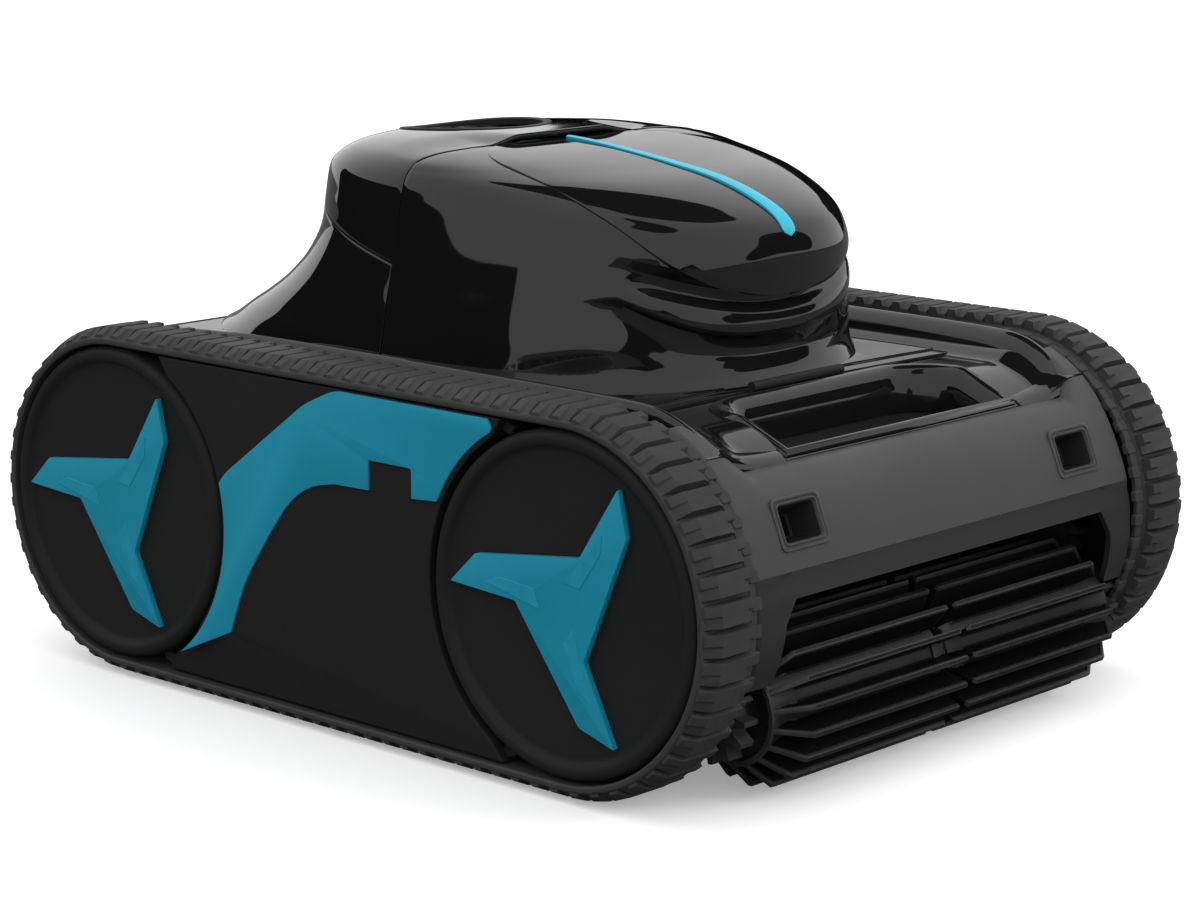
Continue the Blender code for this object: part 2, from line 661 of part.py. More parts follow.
def bumper_section(inset):
    """The nose's outer line from the deck to the brush window, in (y, z)."""
    front, top = DECK_FRONT, DECK_TOP
    line = [(front - 3.3, top - 0.4), (front - 8.3, top - 3.5), (front - 15.3, top - 10), (front - 22.3, top - 21),
            (front - 27.3, top - 33), (front - 31.3, BRUSH_WINDOW_TOP + 10.7), (front - 33.3, BRUSH_WINDOW_TOP)]
    return [(y + inset, z - inset * 0.45) for y, z in line]


def make_front_bumper():
    """Curved nose panel with vents, and a leg at each end beside the brush."""
    loop = bumper_section(0) + bumper_section(3.0)[::-1]
    half = BODY_HALF_WIDTH
    bumper = outline_piece("front_bumper", [loop], "X", -half, half, "satin_grey")
    inner = BRUSH_HALF_LENGTH + 2.0
    for _, sign in sides():
        low, high = span(sign, inner + 3, half)
        front = DECK_FRONT - 29.3
        leg = [(front - 4, BRUSH_WINDOW_TOP + 4), (front - 5, BUMPER_FOOT + 20), (front, BUMPER_FOOT),
               (front + 4, BUMPER_FOOT), (front - 0.5, BUMPER_FOOT + 20), (front, BRUSH_WINDOW_TOP + 4)]
        bumper = join(bumper, outline_piece("leg", [leg], "X", low, high, None, CUTTERS))
        bumper = cut(bumper, vent_plug(sign, 0))
    return bumper


def vent_plug(sign, inset):
    """A block through the leaning face, slightly larger or smaller than a vent."""
    x = sign * VENT_SPACING
    half = VENT_WIDTH / 2 - inset
    z = (VENT_Z - VENT_HEIGHT / 2 + inset, VENT_Z + VENT_HEIGHT / 2 - inset)
    return cutter_box((x - half, x + half), (DECK_FRONT - 40, DECK_FRONT - 10), z)


def make_vent_frame(side, sign):
    """Tapered cup with a lip, set into the nose."""
    x = sign * VENT_SPACING
    half = VENT_WIDTH / 2 - SEAT_GAP
    frame = outline_piece("vent_frame_" + side, [vent_section(0, 0.8)], "X", x - half, x + half, "matte_black")
    hollow = outline_piece("hollow", [vent_section(2.0, 8)], "X", x - half + 2, x + half - 2, None, CUTTERS)
    return cut(frame, hollow)


def vent_section(inset, proud):
    """A vent's side view: its mouth lies along the nose's outer line."""
    low = VENT_Z - VENT_HEIGHT / 2 + SEAT_GAP + inset
    high = VENT_Z + VENT_HEIGHT / 2 - SEAT_GAP - inset
    rear = nose_y(VENT_Z) + VENT_DEPTH - inset
    return [(nose_y(low) - proud, low), (rear, low), (rear, high), (nose_y(high) - proud, high)]


def nose_y(z):
    """The nose's outer y at this height."""
    line = bumper_section(0)
    for (y0, z0), (y1, z1) in zip(line, line[1:]):
        if z1 <= z <= z0:
            return y0 + (y1 - y0) * (z0 - z) / (z0 - z1)
    return line[-1][0]


def make_rear_bumper():
    """Rear closing panel with the charge port and the power button."""
    outer = [(DECK_REAR + 3.5, DECK_TOP - 0.4), (REAR_FACE - 14.5, DECK_TOP - 6), (REAR_FACE - 5.5, DECK_TOP - 22),
             (REAR_FACE, DECK_TOP - 46), (REAR_FACE, 60), (REAR_FACE - 9.5, 34)]
    inner = [(y - 3.0, z - 1.0) for y, z in outer]
    loop = outer + inner[::-1]
    panel = outline_piece("rear_bumper", [loop], "X", -BODY_HALF_WIDTH, BODY_HALF_WIDTH, "satin_grey")
    for x, z in (BUTTON_WINDOW, PORT_WINDOW):
        panel = cut(panel, cutter_box(x, (REAR_FACE - 10, REAR_FACE + 5), z))
    return panel


def shrunk(window, gap):
    """A window's (x), (z) pairs less a gap all round."""
    return [(low + gap, high - gap) for low, high in window]


def make_power_button():
    x, z = shrunk(BUTTON_WINDOW, RUNNING_GAP + 0.2)
    return box_piece("power_button", x, (REAR_FACE - 9, REAR_FACE - 0.6), z, "teal")


def make_charge_port_cap():
    x, z = shrunk(PORT_WINDOW, RUNNING_GAP + 0.3)
    return box_piece("charge_port_cap", x, (REAR_FACE - 2.8, REAR_FACE - 0.2), z, "rubber")


def make_charge_socket():
    """Blind socket behind the cap."""
    x, z = shrunk(PORT_WINDOW, 3.0)
    rear = REAR_FACE - 3.4
    socket = box_piece("charge_socket", x, (rear - 12, rear), z, "matte_black")
    x, z = shrunk(PORT_WINDOW, 5.0)
    return cut(socket, cutter_box(x, (rear - 10, rear + 1), z))


# ---- hood ---------------------------------------------------------------------
def hood_surface(name, levels, direction, finish, gap):
    """An open shell from level rings: (height above the deck, half-width, reach from the seam, power)."""
    count = 22
    mesh = bpy.data.meshes.new(name)
    work = bmesh.new()
    rings = []
    for height, half, reach, power in levels:
        z = DECK_TOP + height
        ring = []
        for i in range(count + 1):
            angle = pi * i / count
            across = abs(cos(angle)) ** (2 / power) * (1 if angle < pi / 2 else -1)
            along = abs(sin(angle)) ** (2 / power)
            y = SEAM_Y + direction * (gap + reach * along)
            ring.append(work.verts.new((half * across * MM, y * MM, z * MM)))
        rings.append(ring)
    for lower, upper in zip(rings, rings[1:]):
        for i in range(count):
            work.faces.new((lower[i], lower[i + 1], upper[i + 1], upper[i]))
    bmesh.ops.recalc_face_normals(work, faces=work.faces)
    middle = rings[1][count // 2]
    if sum(face.normal.y for face in middle.link_faces) * direction < 0:
        bmesh.ops.reverse_faces(work, faces=work.faces)
    work.to_mesh(mesh)
    work.free()
    return add_object(name, mesh, finish)


def solidify(obj, thickness):
    """Thicken inwards and bake."""
    finish = obj.data.materials[0].name
    modifier = obj.modifiers.new("wall", "SOLIDIFY")
    modifier.thickness = thickness * MM
    modifier.offset = -1
    modifier.use_even_offset = False
    bpy.context.view_layer.update()
    return bake(obj, finish)


def keep_side(obj, point, normal):
    """Cut an open surface with a plane and keep the side the normal points to."""
    work = bmesh.new()
    work.from_mesh(obj.data)
    geometry = work.verts[:] + work.edges[:] + work.faces[:]
    bmesh.ops.bisect_plane(work, geom=geometry, plane_co=[value * MM for value in point],
                           plane_no=normal, clear_inner=True, dist=0.001 * MM)
    work.to_mesh(obj.data)
    work.free()
    return obj


# (height above the deck, half-width, reach from the seam, power) of each ring
LID_LEVELS = [
    (2.4, 116, 132, 2.4), (9, 114.5, 127, 2.4), (21.4, 112, 129, 2.5), (30, 111, 127.5, 2.5),
    (33, 110.4, 125, 2.5), (38, 109, 131, 2.4), (56, 105, 132.5, 2.25), (68, 102.5, 128, 2.2),
    (76, 100.8, 115, 2.2), (83.4, 99, 92.5, 2.2), (88, 95.5, 65, 2.2), (91.5, 90, 38, 2.2),
    (93.8, 76, 15, 2.2), (LID_RISE, 55, 0, 2.2),
]
REAR_LEVELS = [
    (3.4, 115.5, 180, 2.2), (13, 114, 162, 2.2), (21, 112.3, 146, 2.2), (31, 110.6, 129, 2.2),
    (43, 107.5, 115, 2.2), (57, 104.3, 105, 2.2), (72, 101.5, 103.5, 2.2), (84, 99, 102.5, 2.2),
    (89, 95, 98, 2.2), (93, 88, 90, 2.2), (96, 72, 74, 2.2), (CAP_RISE, 40, 0, 2.2),
]


def make_lid():
    """Front hood: a helmet-shaped shell, hinged at its nose."""
    return solidify(hood_surface("lid", LID_LEVELS, -1, "gloss_black", SEAM_GAP / 2), HOOD_WALL)


def cap_plane(offset):
    """A point and an upward normal of the line between cap and skirt."""
    normal = (0, -CAP_LINE_RISE, 1)
    return (0, SEAM_Y, CAP_LINE_Z + offset), normal


def make_rear_cap():
    surface = hood_surface("rear_cap", REAR_LEVELS, 1, "gloss_black", SEAM_GAP / 2)
    cap = solidify(keep_side(surface, *cap_plane(SEAM_GAP)), HOOD_WALL)
    return cut(cap, cutter_rod(OUTLET_RADIUS + SEAT_GAP, DUCT_BOTTOM, CAP_TOP + 5, (0, OUTLET_Y, 0), "+Z", 36))


def make_rear_skirt():
    surface = hood_surface("rear_skirt", REAR_LEVELS, 1, "gloss_black", SEAM_GAP / 2)
    point, normal = cap_plane(0)
    return solidify(keep_side(surface, point, [-value for value in normal]), HOOD_WALL)


def lid_height(y):
    """Height of the lid's centreline at this y."""
    reach = SEAM_Y - SEAM_GAP / 2 - y
    for (h0, _, r0, _), (h1, _, r1, _) in zip(LID_LEVELS[6:], LID_LEVELS[7:]):
        if r1 <= reach <= r0:
            return DECK_TOP + h0 + (h1 - h0) * (r0 - reach) / (r0 - r1)
    return LID_TOP


def make_light_strip():
    """Thin status light on the lid's centreline, wider towards the nose."""
    start, end, steps = SEAM_Y - 5, SEAM_Y - 127, 14
    top, bottom = [], []
    for i in range(steps + 1):
        y = start + (end - start) * i / steps
        top.append((y, lid_height(y) + 1.7))
        bottom.append((y, lid_height(y) + 0.8))
    strip = outline_piece("light_strip", [top + bottom[::-1]], "X", -4, 4, "cyan")
    for sign in (-1, 1):
        wedge = [(sign * 2.0, start + 5), (sign * 4.2, end - 5), (sign * 9, end - 5), (sign * 9, start + 5)]
        z = (DECK_TOP + 56, CAP_TOP + 8)
        strip = cut(strip, outline_piece("wedge", [wedge], "Z", *z, None, CUTTERS))
    return strip


def make_lid_latch():
    y = (SEAM_Y + SEAM_GAP + 1, SEAM_Y + 14)
    return box_piece("lid_latch", (-16, 16), y, (CAP_TOP - 12, CAP_TOP - HOOD_WALL - 2.2), "matte_black")


def make_lid_hinge_pin():
    centre = (0, LID_AXIS_Y, LID_AXIS_Z)
    return rod_piece("lid_hinge_pin", HINGE_PIN_RADIUS, -30, 30, centre, "+X", "steel", 16)


# ---- pump and outlet ----------------------------------------------------------
def make_outlet_grille():
    """Round plate with parallel slots, just below the cap's surface."""
    centre = (0, OUTLET_Y)
    loops = [arc(centre, OUTLET_RADIUS - SEAT_GAP, 0, 350, 35)]
    pitch, slot = 8.0, 5.0
    for i in range(-3, 4):
        y = i * pitch
        half = math.sqrt((OUTLET_RADIUS - 4) ** 2 - (abs(y) + slot / 2) ** 2)
        loops.append([(-half, OUTLET_Y + y - slot / 2), (half, OUTLET_Y + y - slot / 2),
                      (half, OUTLET_Y + y + slot / 2), (-half, OUTLET_Y + y + slot / 2)])
    top = CAP_TOP - 5.5
    return outline_piece("outlet_grille", loops, "Z", top - 3, top, "matte_black")


def make_outlet_duct():
    r = OUTLET_RADIUS - DUCT_WALL - SEAT_GAP
    top = CAP_TOP - 8.5 - SEAT_GAP
    profile = [(r, DUCT_BOTTOM), (r + DUCT_WALL, DUCT_BOTTOM), (r + DUCT_WALL, top), (r, top)]
    return turned_piece("outlet_duct", profile, "matte_black", (0, OUTLET_Y, 0), "+Z", 36)


def make_impeller():
    """Five blades round a hub, on the motor's shaft."""
    centre = (0, OUTLET_Y)
    loop = []
    for i in range(5):
        for radius, offset in ((9, -20), (IMPELLER_RADIUS, 4), (IMPELLER_RADIUS, 26), (9, 16)):
            angle = radians(72 * i + offset)
            loop.append((centre[0] + radius * cos(angle), centre[1] + radius * sin(angle)))
    bore = arc(centre, 3 + RUNNING_GAP, 0, 330, 11)
    low = DECK_TOP + IMPELLER_HEIGHT
    return outline_piece("impeller", [loop, bore], "Z", low, low + IMPELLER_WIDTH, "gear")


def make_pump_motor():
    base = COVER_TOP + SEAT_GAP
    top = DECK_TOP + MOTOR_HEIGHT
    profile = [(0, base), (MOTOR_RADIUS, base), (MOTOR_RADIUS, top - 6), (MOTOR_RADIUS - 6, top),
               (8, top), (8, top + 6), (3, top + 6), (3, top + 23), (0, top + 23)]
    return turned_piece("pump_motor", profile, "matte_black", (0, OUTLET_Y, 0), "+Z", 28)


# ---- filter -------------------------------------------------------------------
def make_filter_basket():
    """Open-topped debris basket with an inlet hole over each floor inlet."""
    half, base = BASKET_HALF_WIDTH, TUB_FLOOR + WALL + SEAT_GAP
    basket = box_piece("filter_basket", (-half, half), (BASKET_FRONT, BASKET_REAR), (base, BASKET_TOP), "mesh")
    wall = BASKET_WALL
    basket = cut(basket, cutter_box((-half + wall, half - wall), (BASKET_FRONT + wall, BASKET_REAR - wall),
                                    (base + wall, BASKET_TOP + 1)))
    for sign in (-1, 1):
        x = (sign * INLET_CENTRE_X - INLET_HALF_WIDTH, sign * INLET_CENTRE_X + INLET_HALF_WIDTH)
        basket = cut(basket, cutter_box(x, (INLET_FRONT, INLET_REAR), (base - 1, base + wall + 1)))
    return basket


def make_basket_handle():
    """Bail that folds flat on the basket's rim."""
    half = BASKET_HALF_WIDTH - BASKET_WALL - 0.6
    width = 6.0
    front = HANDLE_PIVOT_Y - width / 2
    rear = HANDLE_PIVOT_Y + HANDLE_LENGTH
    outer = [(-half, front), (-half, rear), (half, rear), (half, front)]
    inner = [(half - width, front), (half - width, rear - width), (-half + width, rear - width),
             (-half + width, front)]
    return outline_piece("basket_handle", [outer + inner], "Z", BASKET_TOP - 6.0, BASKET_TOP - 2.0, "teal")


def make_inlet_flap(side, sign):
    """Rubber flap that lies over an inlet inside the basket."""
    x = (sign * INLET_CENTRE_X - INLET_HALF_WIDTH - 2, sign * INLET_CENTRE_X + INLET_HALF_WIDTH + 2)
    base = TUB_FLOOR + WALL + BASKET_WALL + 2 * SEAT_GAP
    return box_piece("inlet_flap_" + side, x, (INLET_FRONT - 4, INLET_REAR + 2), (base, base + 2), "rubber")


# ---- drive and electrics ------------------------------------------------------
def make_drive_motor(side, sign):
    r = DRIVE_MOTOR_RADIUS
    profile = [(0, 22), (r - 2, 22), (r, 24), (r, 88), (r - 4, 90), (r - 4, 104), (6, 104), (6, 112), (0, 112)]
    axis = "+X" if sign > 0 else "-X"
    return turned_piece("drive_motor_" + side, profile, "steel", (0, MOTOR_Y, MOTOR_Z), axis, 24)


def make_battery():
    half, base = BATTERY_HALF_WIDTH, TUB_FLOOR + WALL + SEAT_GAP
    y = (MOTOR_Y + DRIVE_MOTOR_RADIUS + BATTERY_GAP, TUB_REAR - WALL - BATTERY_END_GAP)
    return box_piece("battery_pack", (-half, half), y, (base, AXLE_Z - AXLE_RADIUS - BATTERY_CLEARANCE), "battery")


def make_control_board():
    """Board hung under the dry bay cover on four posts."""
    top = COVER_TOP - 4 - SEAT_GAP
    board = box_piece("control_board", (-50, 50), (70, 170), (top - 14, top - 12), "board")
    for x in (-44, 44):
        for y in (76, 164):
            board = join(board, cutter_box((x - 3, x + 3), (y - 3, y + 3), (top - 13, top)))
    board = join(board, cutter_box((-20, 12), (100, 124), (top - 13, top - 7)))
    return join(board, cutter_box((18, 36), (96, 130), (top - 13, top - 4)))


def main():
    clear_scene()
    global PARTS, CUTTERS
    PARTS = new_collection("pool_cleaner")
    CUTTERS = new_collection("cutters")
    towards_brush = math.atan2(BRUSH_Z - AXLE_Z, BRUSH_Y - FRONT_Y)
    for side, sign in sides():
        make_track(side, sign)
        for end, y, towards in (("front", FRONT_Y, towards_brush), ("rear", REAR_Y, MOTOR_ANGLE)):
            make_wheel(end, side, sign, y)
            make_star(end, side, sign, y)
            make_drive_gear(end, side, sign, y, towards)
        make_brush_pinion(side, sign, towards_brush)
        make_motor_pinion(side, sign)
        make_brush(side, sign)
        make_side_frame(side, sign)
        make_side_panel(side, sign)
        make_accent(side, sign)
        make_side_latch(side, sign)
        make_vent_frame(side, sign)
        make_drive_motor(side, sign)
        make_inlet_flap(side, sign)
    for end, y in (("front", FRONT_Y), ("rear", REAR_Y)):
        make_axle(end, y)
    for make in (make_brush_shaft, make_tub, make_inlet_lip, make_dry_bay_cover, make_deck, make_front_bumper,
                 make_rear_bumper, make_power_button, make_charge_port_cap, make_charge_socket, make_lid,
                 make_light_strip,
                 make_lid_latch, make_lid_hinge_pin, make_rear_cap, make_rear_skirt, make_outlet_grille,
                 make_outlet_duct, make_impeller, make_pump_motor, make_filter_basket, make_basket_handle,
                 make_battery, make_control_board):
        make()


main()
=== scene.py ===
"""Looks of the cordless tracked pool cleaner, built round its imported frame.

X runs across the machine, -Y is ahead (the brush end) and +Z is up.  Sizes in the
classes are in millimetres, and Bench scales them to metres as each mesh is laid out.
"""

import json
import logging
import math
from collections.abc import Callable, Sequence
from dataclasses import dataclass
from enum import Enum
from math import cos, pi, radians, sin

import bpy
from mathutils import Matrix, Vector


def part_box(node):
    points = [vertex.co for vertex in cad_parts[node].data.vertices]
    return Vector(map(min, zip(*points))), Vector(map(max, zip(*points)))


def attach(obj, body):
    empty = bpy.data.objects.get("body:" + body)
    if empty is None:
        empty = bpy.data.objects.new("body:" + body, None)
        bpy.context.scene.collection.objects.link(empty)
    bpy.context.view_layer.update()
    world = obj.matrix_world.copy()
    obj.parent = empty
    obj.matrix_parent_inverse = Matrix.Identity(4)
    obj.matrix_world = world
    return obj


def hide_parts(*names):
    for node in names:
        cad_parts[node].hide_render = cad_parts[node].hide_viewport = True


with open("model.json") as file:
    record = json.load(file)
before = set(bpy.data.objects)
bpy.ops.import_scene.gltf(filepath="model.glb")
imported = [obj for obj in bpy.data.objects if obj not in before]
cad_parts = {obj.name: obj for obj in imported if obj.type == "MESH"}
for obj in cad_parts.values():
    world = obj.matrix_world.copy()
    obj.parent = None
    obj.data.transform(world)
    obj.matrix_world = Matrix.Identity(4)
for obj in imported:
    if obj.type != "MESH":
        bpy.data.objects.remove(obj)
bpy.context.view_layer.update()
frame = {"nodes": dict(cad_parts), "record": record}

MM = 0.001
WELD = 0.00001
LOG = logging.getLogger("pool_cleaner")

Flat = tuple[float, float]
Spot = tuple[float, float, float]
Piece = bpy.types.Object
Tree = bpy.types.NodeTree
Socket = bpy.types.NodeSocket


# ---- measures taken from the frame ----------------------------------------------
def middle_of(node: str) -> Spot:
    """Return the middle of a CAD node's box, in millimetres.

    Args:
        node: The CAD node's name.

    Returns:
        The box's middle.
    """
    low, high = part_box(node)
    return tuple((a + b) / 2 / MM for a, b in zip(low, high))


def top_of(node: str) -> float:
    """Return the height of a CAD node's highest point, in millimetres."""
    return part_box(node)[1].z / MM


HALF_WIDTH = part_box("track_belt_left")[1].x / MM
AXLE_Z = middle_of("axle_front")[2]
FRONT_Y = middle_of("axle_front")[1]
REAR_Y = middle_of("axle_rear")[1]
TREAD_RADIUS = AXLE_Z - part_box("track_belt_left")[0].z / MM
BRUSH_Y, BRUSH_Z = middle_of("brush_shaft")[1:]
SEAM_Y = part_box("lid")[1].y / MM + 0.5
DECK_TOP = top_of("deck_cover")
LID_TOP = top_of("lid")
CAP_TOP = top_of("rear_cap")
OUTLET_Y = middle_of("outlet_grille")[1]


# ---- small geometry -------------------------------------------------------------
class Axis(Enum):
    """The axis that an outline is extruded or turned along."""

    X = 0
    Y = 1
    Z = 2

    def spot(self, a: float, b: float, depth: float) -> Spot:
        """Return the point with these coordinates in the outline's plane, at this depth."""
        return {Axis.X: (depth, a, b), Axis.Y: (a, depth, b), Axis.Z: (a, b, depth)}[self]

    def unit(self) -> Vector:
        """Return the axis as a vector."""
        return Vector([1.0 if i == self.value else 0.0 for i in range(3)])


class Side(Enum):
    """The machine's left is at +X."""

    LEFT = "left"
    RIGHT = "right"


def ease(low: float, high: float, value: float) -> float:
    """Return a smooth step from 0 at low to 1 at high, which may lie below low."""
    share = min(1.0, max(0.0, (value - low) / (high - low)))
    return share * share * (3 - 2 * share)


def mix(a: float, b: float, share: float) -> float:
    """Return the value this share of the way from a to b."""
    return a + (b - a) * share


def arc(centre: Flat, radius: float, start: float, end: float, count: int) -> list[Flat]:
    """Return points on an arc, both ends included; the angles are in degrees."""
    angles = [radians(mix(start, end, i / count)) for i in range(count + 1)]
    return [(centre[0] + radius * cos(a), centre[1] + radius * sin(a)) for a in angles]


def rounded(corners: Sequence[Flat], radius: float, steps: int = 4) -> list[Flat]:
    """Round the corners of a closed outline.

    Args:
        corners: The outline's corners in order.
        radius: How far along each edge the rounding starts.
        steps: The number of edges in each rounding.

    Returns:
        The rounded outline.
    """
    points = []
    for i, corner in enumerate(corners):
        here = Vector(corner)
        before = Vector(corners[i - 1]) - here
        after = Vector(corners[(i + 1) % len(corners)]) - here
        start = here + before.normalized() * min(radius, before.length * 0.45)
        end = here + after.normalized() * min(radius, after.length * 0.45)
        for k in range(steps + 1):
            t = k / steps
            point = start * (1 - t) ** 2 + here * 2 * t * (1 - t) + end * t * t
            points.append((point.x, point.y))
    return points


def follow(points: Sequence[Sequence[float]], share: float) -> Vector:
    """Return a point on a smooth line through the given points.

    Args:
        points: The line's points, equally spaced in share.
        share: The place along the line, from 0 to 1.

    Returns:
        The point, with as many coordinates as the given ones.
    """
    last = len(points) - 1
    place = min(max(share, 0.0), 1.0) * last
    i = min(int(place), last - 1)
    t = place - i
    p = [Vector(points[min(max(i + k, 0), last)]) for k in (-1, 0, 1, 2)]
    first = (p[2] - p[0]) * 0.5
    second = (p[3] - p[1]) * 0.5
    return (p[1] * (2 * t**3 - 3 * t**2 + 1) + first * (t**3 - 2 * t**2 + t)
            + p[2] * (3 * t**2 - 2 * t**3) + second * (t**3 - t**2))


# ---- modelling bench ------------------------------------------------------------
class Bench:
    """Modelling steps, each done with Blender's own operators."""

    @staticmethod
    def clear() -> None:
        """Leave edit mode and deselect everything."""
        active = bpy.context.view_layer.objects.active
        if active and active.mode != "OBJECT":
            bpy.ops.object.mode_set(mode="OBJECT")
        bpy.ops.object.select_all(action="DESELECT")

    @staticmethod
    def pick(*pieces: Piece) -> None:
        """Select only these pieces, the first of them active."""
        Bench.clear()
        for piece in pieces:
            piece.select_set(True)
        bpy.context.view_layer.objects.active = pieces[0]

    @staticmethod
    def edit(piece: Piece) -> None:
        """Open a piece in edit mode with everything selected."""
        Bench.pick(piece)
        bpy.ops.object.mode_set(mode="EDIT")
        bpy.ops.mesh.select_all(action="SELECT")

    @staticmethod
    def fresh(name: str) -> Piece:
        """Name the primitive that was just added."""
        piece = bpy.context.object
        piece.name = name
        piece.data.name = name
        return piece

    @staticmethod
    def tidy(piece: Piece) -> Piece:
        """Weld doubles, drop loose edges and make the faces look one way."""
        Bench.edit(piece)
        bpy.ops.mesh.remove_doubles(threshold=WELD)
        bpy.ops.mesh.delete_loose()
        bpy.ops.mesh.select_all(action="SELECT")
        bpy.ops.mesh.normals_make_consistent(inside=False)
        Bench.clear()
        return piece

    @staticmethod
    def sheet(name: str, columns: int, rows: int, place: Callable[[int, int], Spot]) -> Piece:
        """Add a grid and lay each of its points.

        Args:
            name: The new piece's name.
            columns: The number of faces across.
            rows: The number of faces along.
            place: Gives a point's spot from its column and row.

        Returns:
            The laid and welded sheet.
        """
        Bench.clear()
        bpy.ops.mesh.primitive_grid_add(x_subdivisions=columns, y_subdivisions=rows, size=2.0)
        piece = Bench.fresh(name)
        for vert in piece.data.vertices:
            i = round((vert.co.x + 1) / 2 * columns)
            j = round((vert.co.y + 1) / 2 * rows)
            vert.co = Vector(place(i, j)) * MM
        return Bench.tidy(piece)

    @staticmethod
    def face_away(piece: Piece, inside: Spot) -> Piece:
        """Turn an open sheet's faces to look away from a point behind it."""
        core = Vector(inside) * MM
        score = sum((face.center - core).dot(face.normal) * face.area for face in piece.data.polygons)
        if score < 0:
            Bench.edit(piece)
            bpy.ops.mesh.flip_normals()
            Bench.clear()
        return piece

    @staticmethod
    def plate(name: str, outline: Sequence[Flat], axis: Axis, low: float, high: float) -> Piece:
        """Fill an outline and extrude it.

        Args:
            name: The new piece's name.
            outline: The closed outline in the plane across the axis.
            axis: The axis to extrude along.
            low: The depth of the first face.
            high: The depth of the second face.

        Returns:
            The closed plate.
        """
        Bench.clear()
        bpy.ops.mesh.primitive_circle_add(vertices=len(outline), fill_type="NGON", radius=1.0)
        piece = Bench.fresh(name)
        for vert, (a, b) in zip(piece.data.vertices, outline):
            vert.co = Vector(axis.spot(a, b, low)) * MM
        Bench.edit(piece)
        travel = axis.unit() * (high - low) * MM
        bpy.ops.mesh.extrude_region_move(TRANSFORM_OT_translate={"value": travel})
        bpy.ops.mesh.select_all(action="SELECT")
        bpy.ops.mesh.normals_make_consistent(inside=False)
        Bench.clear()
        return piece

    @staticmethod
    def turned(name: str, section: Sequence[Flat], centre: Spot, axis: Axis, steps: int = 72) -> Piece:
        """Spin a closed section round an axis.

        Args:
            name: The new piece's name.
            section: (radius, height along the axis) corners of the section.
            centre: A point on the axis; heights are counted from it.
            axis: The axis to spin round, X or Z.
            steps: The number of faces round the turn.

        Returns:
            The closed turned piece.
        """
        Bench.clear()
        bpy.ops.mesh.primitive_circle_add(vertices=len(section), fill_type="NOTHING", radius=1.0)
        piece = Bench.fresh(name)
        cx, cy, cz = centre
        for vert, (radius, along) in zip(piece.data.vertices, section):
            spot = (cx + along, cy, cz + radius) if axis is Axis.X else (cx + radius, cy, cz + along)
            vert.co = Vector(spot) * MM
        Bench.edit(piece)
        bpy.ops.mesh.spin(steps=steps, angle=2 * pi, center=Vector(centre) * MM, axis=axis.unit())
        return Bench.tidy(piece)

    @staticmethod
    def rims(piece: Piece) -> None:
        """Open a piece in edit mode with only its open rims selected."""
        Bench.edit(piece)
        bpy.ops.mesh.select_all(action="DESELECT")
        bpy.ops.mesh.select_mode(type="EDGE")
        bpy.ops.mesh.select_non_manifold(extend=False, use_wire=False, use_boundary=True,
                                         use_multi_face=False,
                                         use_non_contiguous=False, use_verts=False)

    @staticmethod
    def cap_lowest(piece: Piece) -> Piece:
        """Close the open rim that lies lowest."""
        Bench.rims(piece)
        bpy.ops.object.mode_set(mode="OBJECT")
        floor = min(vert.co.z for vert in piece.data.vertices)
        for edge in piece.data.edges:
            if edge.select:
                edge.select = all(piece.data.vertices[v].co.z < floor + MM for v in edge.vertices)
        bpy.ops.object.mode_set(mode="EDIT")
        bpy.ops.mesh.edge_face_add()
        bpy.ops.mesh.select_mode(type="VERT")
        Bench.clear()
        return piece

    @staticmethod
    def modify(piece: Piece, kind: str, **settings: object) -> Piece:
        """Add one modifier, set it and apply it."""
        Bench.pick(piece)
        modifier = piece.modifiers.new(kind.lower(), kind)
        for key, value in settings.items():
            setattr(modifier, key, value)
        bpy.ops.object.modifier_apply(modifier=modifier.name)
        return piece

    @staticmethod
    def wall(piece: Piece, thickness: float) -> Piece:
        """Give a sheet its thickness, inwards."""
        return Bench.modify(piece, "SOLIDIFY", thickness=thickness * MM, offset=-1.0, use_even_offset=False)

    @staticmethod
    def soften(piece: Piece, width: float, segments: int = 2, angle: float = 30.0) -> Piece:
        """Bevel the sharp edges."""
        return Bench.modify(piece, "BEVEL", width=width * MM, segments=segments, limit_method="ANGLE",
                            angle_limit=radians(angle), use_clamp_overlap=True, miter_outer="MITER_ARC")

    @staticmethod
    def smooth(piece: Piece, angle: float = 40.0) -> Piece:
        """Shade smooth except across sharp edges."""
        Bench.pick(piece)
        bpy.ops.object.shade_smooth_by_angle(angle=radians(angle))
        Bench.clear()
        return piece

    @staticmethod
    def carve(piece: Piece, cutter: Piece) -> Piece:
        """Cut one closed piece out of another and drop the cutter."""
        Bench.modify(piece, "BOOLEAN", operation="DIFFERENCE", solver="EXACT", object=cutter)
        bpy.data.objects.remove(cutter, do_unlink=True)
        return piece

    @staticmethod
    def copy(piece: Piece, name: str, matrix: Matrix) -> Piece:
        """Copy a piece with its own mesh, moved by a matrix in millimetres."""
        twin = piece.copy()
        twin.data = piece.data.copy()
        twin.name = name
        twin.data.name = name
        bpy.context.scene.collection.objects.link(twin)
        moved = matrix.copy()
        moved.translation = moved.translation * MM
        twin.data.transform(moved)
        if matrix.determinant() < 0:
            twin.data.flip_normals()
        return twin

    @staticmethod
    def mirrored(piece: Piece, name: str) -> Piece:
        """Copy a piece to the other side of the machine."""
        return Bench.copy(piece, name, Matrix.Scale(-1, 4, (1, 0, 0)))

    @staticmethod
    def joined(name: str, pieces: Sequence[Piece]) -> Piece:
        """Join pieces into one."""
        Bench.pick(*pieces)
        bpy.ops.object.join()
        piece = bpy.context.view_layer.objects.active
        piece.name = name
        piece.data.name = name
        Bench.clear()
        return piece


